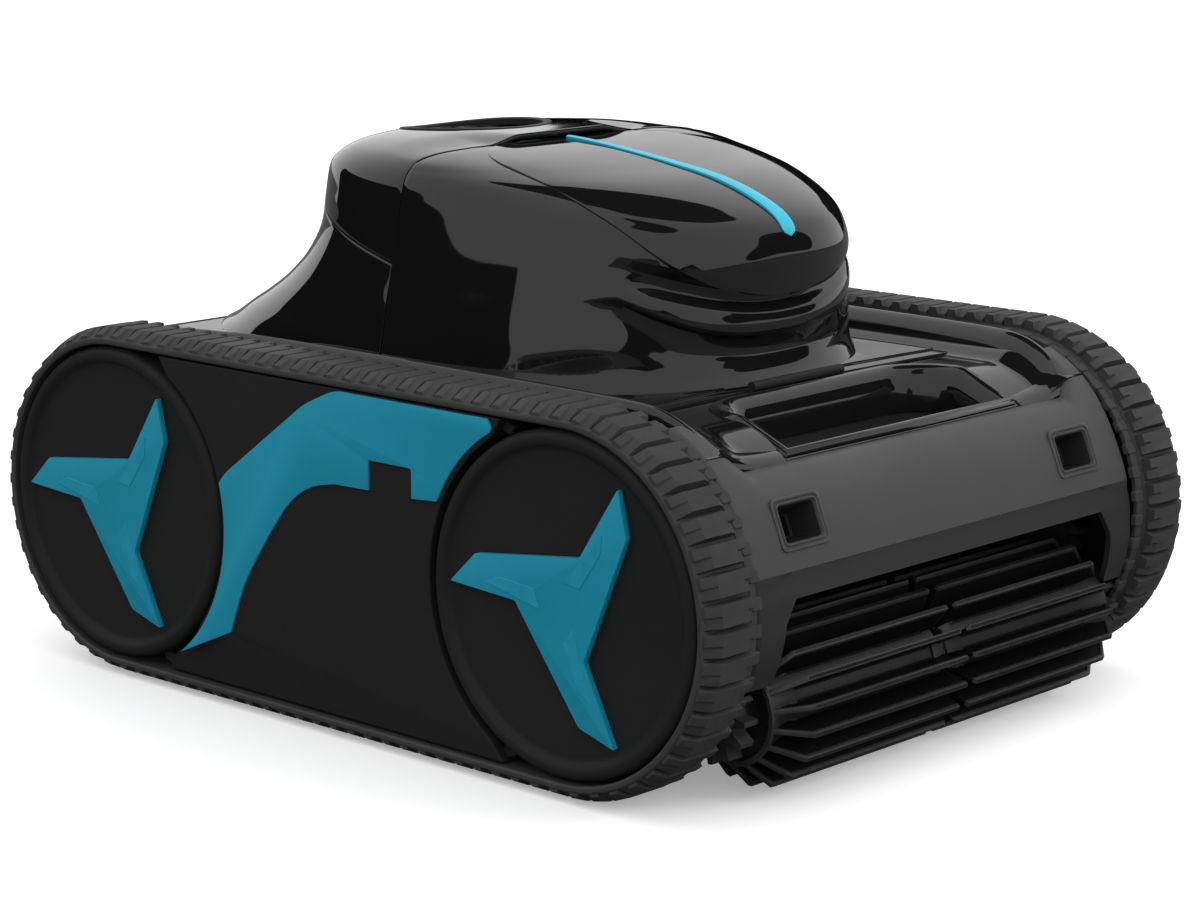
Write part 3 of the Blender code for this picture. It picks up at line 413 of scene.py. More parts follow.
# ---- finishes -------------------------------------------------------------------
@dataclass(frozen=True)
class Finish:
    """How one moulding or metal looks."""

    name: str
    slot: str
    colour: Spot
    shade: Spot
    roughness: Flat
    edge: Spot = (0.05, 0.05, 0.052)
    metallic: float = 0.0
    coat: float = 0.0
    mottle: float = 9.0
    grain: float = 900.0
    depth: float = 0.12
    ripple: float = 0.0
    wear: float = 0.35
    glow: float = 0.0
    specular: float = 0.5


class Finishes:
    """Every finish on the machine."""

    rubber = Finish("belt_rubber", "rubber", (0.044, 0.044, 0.045), (0.036, 0.036, 0.037), (0.52, 0.68),
                    grain=1400.0, depth=0.16, wear=0.35, edge=(0.062, 0.062, 0.063), specular=0.16)
    fins = Finish("brush_rubber", "rubber", (0.024, 0.024, 0.0245), (0.017, 0.017, 0.0175), (0.36, 0.50),
                  grain=1100.0, depth=0.12, wear=0.6, edge=(0.05, 0.05, 0.05), specular=0.30)
    matte = Finish("matte_moulding", "matte_black", (0.0165, 0.0165, 0.0168), (0.0142, 0.0142, 0.0145),
                   (0.46, 0.56),
                   grain=1500.0, depth=0.08, wear=0.22, edge=(0.026, 0.027, 0.028), specular=0.10)
    gloss = Finish("gloss_moulding", "gloss_black", (0.0070, 0.0070, 0.0072), (0.0062, 0.0062, 0.0064),
                   (0.030, 0.050), grain=260.0, depth=0.004, wear=0.08, edge=(0.02, 0.02, 0.02))
    satin = Finish("satin_moulding", "satin_grey", (0.058, 0.058, 0.059), (0.052, 0.052, 0.053), (0.38, 0.48),
                   grain=1700.0, depth=0.08, wear=0.3, edge=(0.085, 0.085, 0.086), specular=0.22)
    # Near-black copy of the fin rubber for the fins' thin webs: painted shade in the gaps between the beaded
    # fin edges.
    webs = Finish("brush_web", "rubber", (0.0050, 0.0050, 0.0052), (0.0040, 0.0040, 0.0042), (0.5, 0.6),
                  grain=900.0, depth=0.1, wear=0.1, edge=(0.010, 0.010, 0.0105), specular=0.08)
    # Darker copy of the satin grey for the bumper's lower band: painted shade, since that band faces down and
    # away from the light.
    satin_low = Finish("satin_lower_band", "satin_grey", (0.026, 0.026, 0.0265), (0.022, 0.022, 0.0225),
                       (0.42, 0.52),
                       grain=1700.0, depth=0.08, wear=0.3, edge=(0.05, 0.05, 0.051), specular=0.2)
    teal = Finish("teal_moulding", "teal", (0.0125, 0.275, 0.405), (0.0105, 0.250, 0.375), (0.42, 0.52),
                  grain=1500.0, depth=0.06, wear=0.3, edge=(0.03, 0.34, 0.47), specular=0.10)
    cyan = Finish("light_lens", "cyan", (0.032, 0.42, 0.56), (0.026, 0.38, 0.52), (0.22, 0.32),
                  grain=500.0, depth=0.02, wear=0.0, glow=0.10, specular=0.25)
    gear = Finish("gear_nylon", "gear", (0.022, 0.022, 0.023), (0.016, 0.016, 0.017), (0.38, 0.52),
                  grain=800.0, depth=0.06, wear=0.3, edge=(0.06, 0.06, 0.062), specular=0.3)
    steel = Finish("turned_steel", "steel", (0.56, 0.56, 0.58), (0.48, 0.48, 0.50), (0.22, 0.36),
                   metallic=1.0,
                   grain=600.0, depth=0.03, wear=0.2, edge=(0.75, 0.75, 0.76))
    battery = Finish("cell_wrap", "battery", (0.02, 0.09, 0.26), (0.016, 0.07, 0.21), (0.30, 0.45),
                     grain=400.0, depth=0.04, wear=0.2, edge=(0.08, 0.16, 0.34))
    board = Finish("circuit_board", "board", (0.010, 0.13, 0.045), (0.006, 0.08, 0.03), (0.28, 0.42),
                   mottle=60.0, grain=300.0, depth=0.05, wear=0.1, edge=(0.20, 0.22, 0.10))
    mesh = Finish("filter_mesh", "mesh", (0.30, 0.31, 0.32), (0.16, 0.165, 0.17), (0.60, 0.78),
                  mottle=420.0, grain=700.0, depth=0.35, wear=0.1, edge=(0.40, 0.41, 0.42))


class Paintbox:
    """Shared shader groups, and one material for each finish."""

    def __init__(self) -> None:
        """Build the shader groups that every material uses."""
        self.made: dict[str, bpy.types.Material] = {}
        self.mottle = self.build_mottle()
        self.grain = self.build_grain()
        self.wear = self.build_wear()

    @staticmethod
    def new_group(name: str, inputs: Sequence[tuple[str, str, float]],
                  outputs: Sequence[tuple[str, str]]) -> tuple[Tree, bpy.types.Node, bpy.types.Node]:
        """Start a shader group.

        Args:
            name: The group's name.
            inputs: (name, socket kind, default) of each input.
            outputs: (name, socket kind) of each output.

        Returns:
            The group's tree, its input node and its output node.
        """
        tree = bpy.data.node_groups.new(name, "ShaderNodeTree")
        for label, kind, default in inputs:
            socket = tree.interface.new_socket(label, in_out="INPUT", socket_type="NodeSocket" + kind)
            if kind == "Float":
                socket.default_value = default
        for label, kind in outputs:
            tree.interface.new_socket(label, in_out="OUTPUT", socket_type="NodeSocket" + kind)
        return tree, tree.nodes.new("NodeGroupInput"), tree.nodes.new("NodeGroupOutput")

    @staticmethod
    def noise(tree: Tree, vector: Socket, scale: Socket | float, detail: float,
              roughness: float = 0.5) -> Socket:
        """Add a noise texture and return its value socket."""
        node = tree.nodes.new("ShaderNodeTexNoise")
        node.inputs["Detail"].default_value = detail
        node.inputs["Roughness"].default_value = roughness
        tree.links.new(vector, node.inputs["Vector"])
        if isinstance(scale, float):
            node.inputs["Scale"].default_value = scale
        else:
            tree.links.new(scale, node.inputs["Scale"])
        return node.outputs["Fac"]

    @staticmethod
    def ranged(tree: Tree, value: Socket, low: float, high: float, start: float = 0.0,
               end: float = 1.0) -> Socket:
        """Map a value's range to another with a clamp and return the socket."""
        node = tree.nodes.new("ShaderNodeMapRange")
        for key, number in (("From Min", low), ("From Max", high), ("To Min", start), ("To Max", end)):
            node.inputs[key].default_value = number
        tree.links.new(value, node.inputs["Value"])
        return node.outputs["Result"]

    @staticmethod
    def maths(tree: Tree, operation: str, first: Socket | float, second: Socket | float) -> Socket:
        """Add a maths node on two sockets, or a socket and a number."""
        node = tree.nodes.new("ShaderNodeMath")
        node.operation = operation
        for socket, value in zip(node.inputs, (first, second)):
            if isinstance(value, (int, float)):
                socket.default_value = value
            else:
                tree.links.new(value, socket)
        return node.outputs["Value"]

    def build_mottle(self) -> Tree:
        """Broad uneven tone of a moulding, from 0 to 1."""
        tree, start, end = self.new_group("moulding_mottle",
                                          (("Vector", "Vector", 0), ("Scale", "Float", 9.0)),
                                          (("Mask", "Float"),))
        broad = self.noise(tree, start.outputs["Vector"], start.outputs["Scale"], 5.0, 0.6)
        tree.links.new(self.ranged(tree, broad, 0.34, 0.68), end.inputs["Mask"])
        return tree

    def build_grain(self) -> Tree:
        """Fine height of a spark-eroded mould with a faint swell under it."""
        inputs = (("Vector", "Vector", 0), ("Scale", "Float", 900.0), ("Fine", "Float", 1.0),
                  ("Swell", "Float", 0.0))
        tree, start, end = self.new_group("mould_grain", inputs, (("Height", "Float"),))
        vector = start.outputs["Vector"]
        fine = self.noise(tree, vector, start.outputs["Scale"], 2.0)
        cells = tree.nodes.new("ShaderNodeTexVoronoi")
        tree.links.new(vector, cells.inputs["Vector"])
        tree.links.new(start.outputs["Scale"], cells.inputs["Scale"])
        both = self.maths(tree, "ADD", fine, self.maths(tree, "MULTIPLY", cells.outputs["Distance"], 0.5))
        fine = self.maths(tree, "MULTIPLY", both, start.outputs["Fine"])
        swell = self.noise(tree, vector, 14.0, 1.0)
        swell = self.maths(tree, "MULTIPLY", swell, start.outputs["Swell"])
        tree.links.new(self.maths(tree, "ADD", fine, swell), end.inputs["Height"])
        return tree

    def build_wear(self) -> Tree:
        """Rubbed edges, broken up by noise, from 0 to 1."""
        inputs = (("Vector", "Vector", 0), ("Pointiness", "Float", 0.5), ("Amount", "Float", 0.3))
        tree, start, end = self.new_group("edge_wear", inputs, (("Mask", "Float"),))
        edge = self.ranged(tree, start.outputs["Pointiness"], 0.515, 0.60)
        patch = self.ranged(tree, self.noise(tree, start.outputs["Vector"], 160.0, 4.0, 0.65), 0.35, 0.62)
        mask = self.maths(tree, "MULTIPLY", self.maths(tree, "MULTIPLY", edge, patch),
                          start.outputs["Amount"])
        tree.links.new(mask, end.inputs["Mask"])
        return tree

    @staticmethod
    def blend(tree: Tree, mask: Socket, first: Socket | tuple, second: Socket | tuple) -> Socket:
        """Mix two colours, each a socket or a constant, by a mask."""
        node = tree.nodes.new("ShaderNodeMix")
        node.data_type = "RGBA"
        tree.links.new(mask, node.inputs[0])
        for socket, value in ((node.inputs[6], first), (node.inputs[7], second)):
            if isinstance(value, tuple):
                socket.default_value = (*value, 1.0)
            else:
                tree.links.new(value, socket)
        return node.outputs[2]

    def group(self, tree: Tree, shared: Tree, vector: Socket, **values: Socket | float) -> Socket:
        """Place a shared group in a material and return its output."""
        node = tree.nodes.new("ShaderNodeGroup")
        node.node_tree = shared
        tree.links.new(vector, node.inputs["Vector"])
        for key, value in values.items():
            if isinstance(value, (int, float)):
                node.inputs[key].default_value = value
            else:
                tree.links.new(value, node.inputs[key])
        return node.outputs[0]

    def material(self, finish: Finish) -> bpy.types.Material:
        """Return the material of a finish, made the first time.

        Args:
            finish: The finish to make.

        Returns:
            Its node material.
        """
        if finish.name in self.made:
            return self.made[finish.name]
        made = bpy.data.materials.new(finish.name)
        made.use_nodes = True
        tree = made.node_tree
        shader = tree.nodes["Principled BSDF"]
        place = tree.nodes.new("ShaderNodeTexCoord").outputs["Object"]
        pointed = tree.nodes.new("ShaderNodeNewGeometry").outputs["Pointiness"]
        tone = self.group(tree, self.mottle, place, Scale=finish.mottle)
        colour = self.blend(tree, tone, finish.colour, finish.shade)
        if finish.wear > 0:
            worn = self.group(tree, self.wear, place, Pointiness=pointed, Amount=finish.wear)
            colour = self.blend(tree, worn, colour, finish.edge)
        tree.links.new(colour, shader.inputs["Base Color"])
        smear = self.ranged(tree, tone, 0.0, 1.0, *finish.roughness)
        tree.links.new(smear, shader.inputs["Roughness"])
        height = self.group(tree, self.grain, place, Scale=finish.grain, Fine=1.0, Swell=finish.ripple * 20)
        bump = tree.nodes.new("ShaderNodeBump")
        bump.inputs["Strength"].default_value = finish.depth
        bump.inputs["Distance"].default_value = 0.0004
        tree.links.new(height, bump.inputs["Height"])
        tree.links.new(bump.outputs["Normal"], shader.inputs["Normal"])
        shader.inputs["Metallic"].default_value = finish.metallic
        shader.inputs["Specular IOR Level"].default_value = finish.specular
        shader.inputs["Coat Weight"].default_value = finish.coat
        shader.inputs["Coat Roughness"].default_value = 0.03
        if finish.glow > 0:
            tree.links.new(colour, shader.inputs["Emission Color"])
            shader.inputs["Emission Strength"].default_value = finish.glow
        made.diffuse_color = (*finish.colour, 1.0)
        self.made[finish.name] = made
        return made


@dataclass
class Workshop:
    """Puts each finished piece on its body, in its finish and in its node's place."""

    paint: Paintbox

    def settle(self, piece: Piece, body: str, finish: Finish, *nodes: str) -> Piece:
        """Dress a piece and hand it to the frame.

        Args:
            piece: The finished piece.
            body: The CAD body it moves with.
            finish: Its finish.
            nodes: The CAD nodes that it stands for, if any.

        Returns:
            The same piece.
        """
        piece.data.materials.clear()
        piece.data.materials.append(self.paint.material(finish))
        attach(piece, body)
        if nodes:
            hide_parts(*nodes)
        LOG.info("%s: %d faces on %s", piece.name, len(piece.data.polygons), body)
        return piece

    def pair(self, left: Piece, name: str, bodies: str, finish: Finish, *nodes: str) -> None:
        """Settle a left piece and its mirror image.

        Args:
            left: The piece on the left side.
            name: Its name without the side.
            bodies: The body's name, with {} where the side goes.
            finish: The finish of both.
            nodes: The CAD nodes' names, with {} where the side goes.
        """
        left.name = f"{name}_left"
        right = Bench.mirrored(left, f"{name}_right")
        for side, piece in ((Side.LEFT, left), (Side.RIGHT, right)):
            replaced = [node.format(side.value) for node in nodes]
            self.settle(piece, bodies.format(side.value), finish, *replaced)

    def dress(self, node: str, finish: Finish) -> None:
        """Give a CAD node that stays its better material."""
        piece = frame["nodes"][node]
        piece.data.materials.clear()
        piece.data.materials.append(self.paint.material(finish))
        LOG.info("%s keeps its CAD shape in %s", node, finish.name)


# ---- tracks and wheels ------------------------------------------------------------
@dataclass
class Track:
    """Belt loop with raised lugs, a smooth outer rim and inner guide teeth."""

    shop: Workshop
    lug_count: int = 94
    lug_height: float = 4.6
    band: float = 2.9
    lug_inner: float = 136.6
    lug_outer: float = 163.2
    facet: float = 6.3
    ramp_foot: float = 1.3
    bend_relief: float = 0.14
    inner_facet: float = 5.0
    tooth_inner: float = 128.6
    tooth_outer: float = 134.6

    def __post_init__(self) -> None:
        """Work out the loop's length and radii."""
        self.outer = TREAD_RADIUS - self.lug_height
        self.inner = self.outer - self.band
        self.neutral = (self.outer + self.inner) / 2
        self.run = REAR_Y - FRONT_Y
        self.length = 2 * self.run + 2 * pi * self.neutral

    def spot(self, along: float, radius: float) -> tuple[float, float, float]:
        """Return (y, z, outward angle) at a distance along the loop."""
        s = along % self.length
        bend = pi * self.neutral
        if s < self.run:
            return FRONT_Y + s, AXLE_Z - radius, -pi / 2
        s -= self.run
        if s < bend:
            angle = s / self.neutral - pi / 2
            return REAR_Y + radius * cos(angle), AXLE_Z + radius * sin(angle), angle
        s -= bend
        if s < self.run:
            return REAR_Y - s, AXLE_Z + radius, pi / 2
        s -= self.run
        angle = s / self.neutral + pi / 2
        return FRONT_Y + radius * cos(angle), AXLE_Z + radius * sin(angle), angle

    def band_ring(self) -> Piece:
        """Build the belt's band, with its rim and inner flange."""
        i0, o = self.inner, self.outer
        section = [(130.6, i0 + 0.2), (130.6, o - 1.0), (131.2, o - 0.5), (134.6, o - 0.5), (135.2, o - 1.4),
                   (135.8, o - 0.5), (136.4, o + 0.1), (163.0, o + 0.1), (163.7, o - 0.2),
                   (HALF_WIDTH, o - 0.8),
                   (HALF_WIDTH, i0 + 0.9), (163.4, i0), (140.0, i0)]
        steps = 320
        count = len(section)

        def place(i: int, j: int) -> Spot:
            """Place one point of the sheet."""
            across, radius = section[j % count]
            y, z, _ = self.spot(self.length * i / steps, radius)
            return across, y, z

        return Bench.sheet("band", steps, count, place)

    def lug(self) -> Piece:
        """Model one lug at the origin: X across, Y along the belt, Z outwards."""
        pitch = self.length / self.lug_count
        half, tip = pitch * 0.455, pitch * 0.41
        Bench.clear()
        bpy.ops.mesh.primitive_cube_add(size=2.0)
        lug = Bench.fresh("lug")
        for vert in lug.data.vertices:
            x = self.lug_outer if vert.co.x > 0 else self.lug_inner
            z = self.lug_height - self.bend_relief if vert.co.z > 0 else -0.4
            y = math.copysign(tip if z > 0 else half, vert.co.y)
            vert.co = Vector((x, y, z)) * MM
        for spot, normal in (((self.lug_outer - self.facet, 0, 0), (1, 0, 0)), ((0, -0.4, 0), (0, 1, 0)),
                             ((0, 0.4, 0), (0, 1, 0)),
                             ((self.lug_inner + self.inner_facet, 0, 0), (1, 0, 0))):
            Bench.edit(lug)
            bpy.ops.mesh.bisect(plane_co=Vector(spot) * MM, plane_no=normal)
            Bench.clear()
        for vert in lug.data.vertices:
            x, y, z = vert.co / MM
            if z > 1 and x > self.lug_outer - 0.1:
                vert.co.z = (-0.3 if y < 0 else self.ramp_foot) * MM
            elif z > 1 and x < self.lug_inner + 0.1 and y < 0:
                vert.co.z = 1.6 * MM
        return Bench.soften(lug, 0.28, 1, 35)

    def ring(self, template: Piece, shift: float, radius: float) -> list[Piece]:
        """Copy a template to every pitch of the loop and drop the template."""
        copies = []
        pitch = self.length / self.lug_count
        for k in range(self.lug_count):
            y, z, angle = self.spot((k + shift) * pitch, radius)
            turn = Matrix.Rotation(angle - pi / 2, 4, "X")
            copies.append(Bench.copy(template, "copy", Matrix.Translation((0, y, z)) @ turn))
        bpy.data.objects.remove(template, do_unlink=True)
        return copies

    def tooth(self) -> Piece:
        """Model one guide tooth at the belt's inner edge."""
        outline = rounded([(self.tooth_inner, -2.6), (self.tooth_outer, -2.6), (self.tooth_outer, 2.6),
                           (self.tooth_inner, 2.6)], 0.7, 1)
        return Bench.soften(Bench.plate("tooth", outline, Axis.Z, -2.6, 0.2), 0.35, 1)

    def build(self) -> None:
        """Build both belts."""
        pieces = [self.band_ring()]
        pieces += self.ring(self.lug(), 0.5, self.outer)
        pieces += self.ring(self.tooth(), 0.5, self.outer)
        belt = Bench.smooth(Bench.joined("belt", pieces), 22)
        self.shop.pair(belt, "belt", "hull", Finishes.rubber, "track_belt_{}")


@dataclass
class Wheel:
    """Dished disc wheel with a bead round its rim and a three-armed insert."""

    shop: Workshop
    radius: float = 70.2
    face: float = 160.6
    back: float = 141.6
    star_proud: float = 2.9
    tip: float = 60.0
    shoulder: float = 48.0
    waist: float = 24.0

    def disc(self, y: float) -> Piece:
        """Turn the wheel disc on its axle."""
        f, r = self.face, self.radius
        section = [(0, f), (60.5, f), (62.0, f + 0.15), (63.0, f + 0.8), (63.8, f + 1.9), (64.8, f + 2.7),
                   (66.2, f + 3.05), (67.6, f + 2.8), (68.7, f + 2.2), (69.6, f + 1.2), (r, f - 0.4),
                   (r, self.back),
                   (66.2, self.back), (64.0, f - 6.0), (16.0, f - 6.0), (16.0, 120.0), (5.3, 120.0),
                   (5.3, f - 2.6),
                   (0, f - 2.6)]
        return Bench.smooth(Bench.turned("wheel", section, (0, y, AXLE_Z), Axis.X, 128), 32)

    def star_outline(self, y: float, scale: float, slim: float = 1.0) -> list[Flat]:
        """Return the insert's outline about a wheel's centre."""
        points = []
        for arm in range(3):
            start = 0.7 + 120 * arm
            for turn, radius in ((0, self.tip), (16.5 * slim, self.shoulder), (116.0, self.waist * slim)):
                angle = radians(start + turn)
                points.append((y + radius * scale * cos(angle), AXLE_Z + radius * scale * sin(angle)))
        return points

    def blade(self, y: float, arm: int, near: float, far: float, width: float, low: float,
              high: float) -> Piece:
        """Build one arm's raised inner blade."""
        heading = radians(0.7 + 120 * arm + 5.0)
        across = heading + pi / 2
        corners = []
        for reach, offset in ((near, -width), (far, -width * 0.15), (far - 7.0, width),
                              (near + 4.0, width * 1.1)):
            corners.append((y + reach * cos(heading) + offset * cos(across),
                            AXLE_Z + reach * sin(heading) + offset * sin(across)))
        return Bench.plate("blade", corners, Axis.X, low, high)

    def star(self, y: float) -> Piece:
        """Build the insert: a bevelled plate with a fine raised blade on each arm."""
        top = self.face + self.star_proud
        outline = rounded(self.star_outline(y, 1.0), 0.5, 1)
        pieces = [Bench.soften(Bench.plate("star", outline, Axis.X, self.face + 0.05, top), 0.45, 2, 40)]
        for arm in range(3):
            blade = self.blade(y, arm, 10.0, 40.0, 3.6, top - 0.3, top + 0.28)
            pieces.append(Bench.soften(blade, 0.2, 1, 40))
        return Bench.smooth(Bench.joined("star", pieces), 30)

    def build(self) -> None:
        """Build all four wheels."""
        for end, y in (("front", FRONT_Y), ("rear", REAR_Y)):
            self.shop.pair(self.disc(y), f"{end}_wheel", end + "_wheel_{}", Finishes.matte,
                           f"wheel_{end}_" + "{}")
            self.shop.pair(self.star(y), f"{end}_insert", end + "_wheel_{}", Finishes.teal,
                           f"wheel_star_{end}_" + "{}")


@dataclass
class SidePanel:
    """Cover between the wheels with its teal band, push tab and corner clips."""

    shop: Workshop
    face: float = 163.0
    back: float = 141.4
    ring: float = 72.5
    horn: float = 104.0
    half_height: float = 70.4
    sill_lean: float = 2.4

    def cover_outline(self) -> list[Flat]:
        """Return the cover's outline, hollow at both wheels."""
        start = math.degrees(math.acos((REAR_Y - self.horn) / self.ring))
        low, high = AXLE_Z - self.half_height, AXLE_Z + self.half_height
        outline = [(-self.horn, low), (self.horn, low)]
        outline += arc((REAR_Y, AXLE_Z), self.ring, 180 + start, 180 - start, 24)[1:-1]
        outline += [(self.horn, high), (-self.horn, high)]
        outline += arc((FRONT_Y, AXLE_Z), self.ring, start, -start, 24)[1:-1]
        return outline

    def cover(self) -> Piece:
        """Build the cover, its sill leaning inwards below a crease."""
        cover = Bench.plate("cover", self.cover_outline(), Axis.X, self.back, self.face)
        Bench.edit(cover)
        bpy.ops.mesh.bisect(plane_co=Vector((self.face, 58.0, 33.0)) * MM, plane_no=(0, -0.116, 1))
        Bench.clear()
        for vert in cover.data.vertices:
            y, z = vert.co.y / MM, vert.co.z / MM
            below = 33.0 + (y - 58.0) * 0.116 - z
            if vert.co.x > (self.face - 1) * MM and below > 0.5:
                vert.co.x -= self.sill_lean * min(1.0, below / 14.0) * MM
        return Bench.smooth(Bench.soften(cover, 0.7, 2, 50), 12)

    def band_outline(self) -> list[Flat]:
        """Return the teal band's outline."""
        radius = self.ring + 1.9
        top = AXLE_Z + self.half_height - 0.6
        front = arc((FRONT_Y, AXLE_Z), radius, 60.0, 25.5, 10)
        rear = arc((REAR_Y, AXLE_Z), radius, 234.5, 164.5, 18)
        under = [(-54.0, 109.9), (-29.8, 109.7), (-9.0, 109.2)]
        under += [tuple(follow([(-9.0, 109.2), (5.3, 105.9), (18.3, 97.9), (29.5, 84.9), (40.0, 70.4),
                                (49.5, 55.4),
                                (58.4, 33.6)], k / 18)) for k in range(1, 19)]
        shoulder = [(rear[-1][0] - 3.6, rear[-1][1] + 4.6), (9.5, 140.6)]
        over = rounded([rear[-1], *shoulder, (-9.0, top), (-60.0, top)], 5.0, 4)[5:-5]
        return front + under + rear + over + [(-97.6, top), (-99.6, top - 3.6)]

    def band(self) -> Piece:
        """Build the teal band with its notch for the push tab."""
        band = Bench.plate("band", self.band_outline(), Axis.X, self.face - 0.5, HALF_WIDTH - 0.02)
        notch = rounded([(-54.4, 105.0), (-29.2, 105.0), (-29.2, 122.4), (-54.4, 122.4)], 1.4, 3)
        band = Bench.carve(band, Bench.plate("notch", notch, Axis.X, self.face - 2, HALF_WIDTH + 1))
        return Bench.smooth(Bench.soften(band, 0.3, 2, 40), 30)

    def tab(self) -> Piece:
        """Build the push tab: a bevelled cap with grip ribs."""
        cap = rounded([(-53.4, 110.2), (-30.2, 110.2), (-30.2, 121.5), (-53.4, 121.5)], 1.6, 3)
        pieces = [Bench.soften(Bench.plate("tab", cap, Axis.X, 152.2, 161.4), 0.6, 2, 40)]
        for k in range(4):
            y = -49.5 + 5.2 * k
            rib = [(y - 0.9, 112.0), (y + 0.9, 112.0), (y + 0.9, 119.8), (y - 0.9, 119.8)]
            pieces.append(Bench.soften(Bench.plate("rib", rib, Axis.X, 161.0, 162.1), 0.35, 2, 40))
        return Bench.smooth(Bench.joined("tab", pieces), 30)

    def clips(self) -> Piece:
        """Build the small clips that join cover, wheel arch and belt guard."""
        pieces = []
        for y, z, lean in ((102.5, 147.0, -1), (106.0, 11.5, 1), (-103.3, 146.6, -1), (-104.4, 11.5, 1)):
            turn = math.copysign(1, y)
            corners = [(y - 3.4 * turn, z - 2.6 * lean), (y + 4.4 * turn, z + 0.4 * lean),
                       (y + 2.0 * turn, z + 4.4 * lean), (y - 3.8 * turn, z + 2.6 * lean)]
            clip = Bench.plate("clip", rounded(corners, 0.8, 2), Axis.X, 142.0, 158.5)
            pieces.append(Bench.soften(clip, 0.5, 1, 40))
        return Bench.smooth(Bench.joined("clips", pieces), 30)

    def build(self) -> None:
        """Build both sides."""
        self.shop.pair(self.cover(), "side_cover", "hull", Finishes.matte, "side_panel_{}")
        self.shop.pair(self.band(), "side_band", "hull", Finishes.teal, "side_accent_{}")
        self.shop.pair(self.tab(), "push_tab", "side_latch_{}", Finishes.matte, "side_latch_{}")
        self.shop.pair(self.clips(), "side_clips", "hull", Finishes.matte)


# ---- brush ------------------------------------------------------------------------
@dataclass
class Brush:
    """Split roller: straight fins on a smooth drum with interlocking split ends."""

    shop: Workshop
    fins: int = 18
    radius: float = 33.4
    drum: float = 19.0
    inner: float = 1.5
    outer: float = 116.0
    taper: float = 13.0
    thickness: float = 1.5

    def drum_piece(self) -> Piece:
        """Turn the drum with its end disc and recess."""
        end = self.outer
        section = [(4.4, self.inner + 1.0), (self.drum - 2.4, self.inner + 1.0),
                   (self.drum - 1.6, self.inner + 1.8),
                   (self.drum - 0.6, self.inner + 1.0), (self.drum, self.inner + 1.6),
                   (self.drum, end - 13.0),
                   (self.drum + 1.0, end - 8.0), (self.drum + 2.6, end - 3.0), (self.drum + 3.2, end - 0.8),
                   (self.drum + 2.6, end), (self.drum + 0.8, end), (self.drum - 0.6, end - 3.0),
                   (11.0, end - 6.0),
                   (9.4, end - 6.0), (9.0, end + 4.4), (4.4, end + 4.4)]
        return Bench.turned("drum", section, (0, BRUSH_Y, BRUSH_Z), Axis.X, 72)

    def fin(self) -> Piece:
        """Model one fin upright on the axis: a thin web with a bead along its edge."""
        low, high = self.inner + 0.6, self.outer
        knee, tip, root = high - self.taper, self.radius, self.drum - 0.6
        web = [(low, root), (low, tip - 1.4), (low + 1.0, tip), (knee, tip), (high - 0.4, self.drum + 2.4),
               (high, root)]
        half = self.thickness / 2
        pieces = [Bench.plate("web", web, Axis.Y, -half * 0.8, half * 0.8)]
        bead = [(low + 0.2, tip - 2.2), (low + 1.0, tip), (knee + 0.2, tip), (high - 0.2, self.drum + 2.6),
                (high - 1.8, self.drum + 2.2), (knee - 0.7, tip - 2.2)]
        pieces.append(Bench.soften(Bench.plate("bead", bead, Axis.Y, -half * 1.6, half * 1.6), 0.45, 2, 40))
        foot = [(low + 6, root), (low + 9, root + 2.0), (knee - 4, root + 2.0), (knee, root)]
        pieces.append(Bench.plate("foot", foot, Axis.Y, -half * 1.9, half * 1.9))
        return Bench.joined("fin", pieces)

    def tongue(self) -> Piece:
        """Model one notched tongue that ends just short of the split, upright on the axis."""
        tip, root = 0.4, self.inner + 7.0
        corners = [(tip, -2.0), (root, -3.2), (root, 3.2), (tip, 2.0), (tip + 1.8, 0.0)]
        tongue = Bench.plate("tongue", corners, Axis.Z, self.drum - 1.4, self.drum + 1.2)
        return Bench.soften(tongue, 0.3, 1, 40)

    def round_axis(self, template: Piece, count: int, start: float) -> list[Piece]:
        """Copy an upright template round the brush axis and drop the template."""
        centre = Matrix.Translation((0, BRUSH_Y, BRUSH_Z))
        copies = [Bench.copy(template, "copy", centre @ Matrix.Rotation(start + 2 * pi * k / count, 4, "X"))
                  for k in range(count)]
        bpy.data.objects.remove(template, do_unlink=True)
        return copies

    def half(self, start: float) -> Piece:
        """Build the left half of the roller."""
        pieces = [self.drum_piece()]
        pieces += self.round_axis(self.fin(), self.fins, pi / 2 + pi / self.fins)
        pieces += self.round_axis(self.tongue(), self.fins // 2, start)
        return Bench.smooth(Bench.joined("brush_half", pieces), 32)

    def is_web(self, face: bpy.types.MeshPolygon) -> bool:
        """Return whether a face lies on a fin's thin web, below its bead and clear of the drum."""
        y, z = face.center.y / MM - BRUSH_Y, face.center.z / MM - BRUSH_Z
        reach = math.hypot(y, z)
        step = 2 * pi / self.fins
        swing = (math.atan2(z, y) - pi / self.fins) % step
        aside = reach * abs(sin(min(swing, step - swing)))
        sloped = 0.3 < abs(face.normal.x) < 0.97
        between = self.drum + 0.3 < reach < self.radius - 0.5
        return between and aside < self.thickness * 0.55 and not sloped

    def build(self) -> None:
        """Build both halves, turned by one fin to each other."""
        step = 2 * pi / self.fins
        left = self.half(pi / 2)
        right = self.half(pi / 2 + step)
        turned = Bench.mirrored(right, "brush_roller_right")
        bpy.data.objects.remove(right, do_unlink=True)
        left.name = "brush_roller_left"
        for piece, side in ((left, Side.LEFT), (Bench.smooth(turned, 32), Side.RIGHT)):
            roller = self.shop.settle(piece, f"brush_half_{side.value}", Finishes.fins, f"brush_{side.value}")
            # Web faces take the near-black copy of the fin rubber: painted shade between the fins.
            roller.data.materials.append(self.shop.paint.material(Finishes.webs))
            for face in roller.data.polygons:
                face.material_index = int(self.is_web(face))


# ---- hood -------------------------------------------------------------------------
@dataclass(frozen=True)
class Level:
    """One level ring of a hood half: its height, half-width, reach and fullness."""

    z: float
    half: float
    reach: float
    power: float


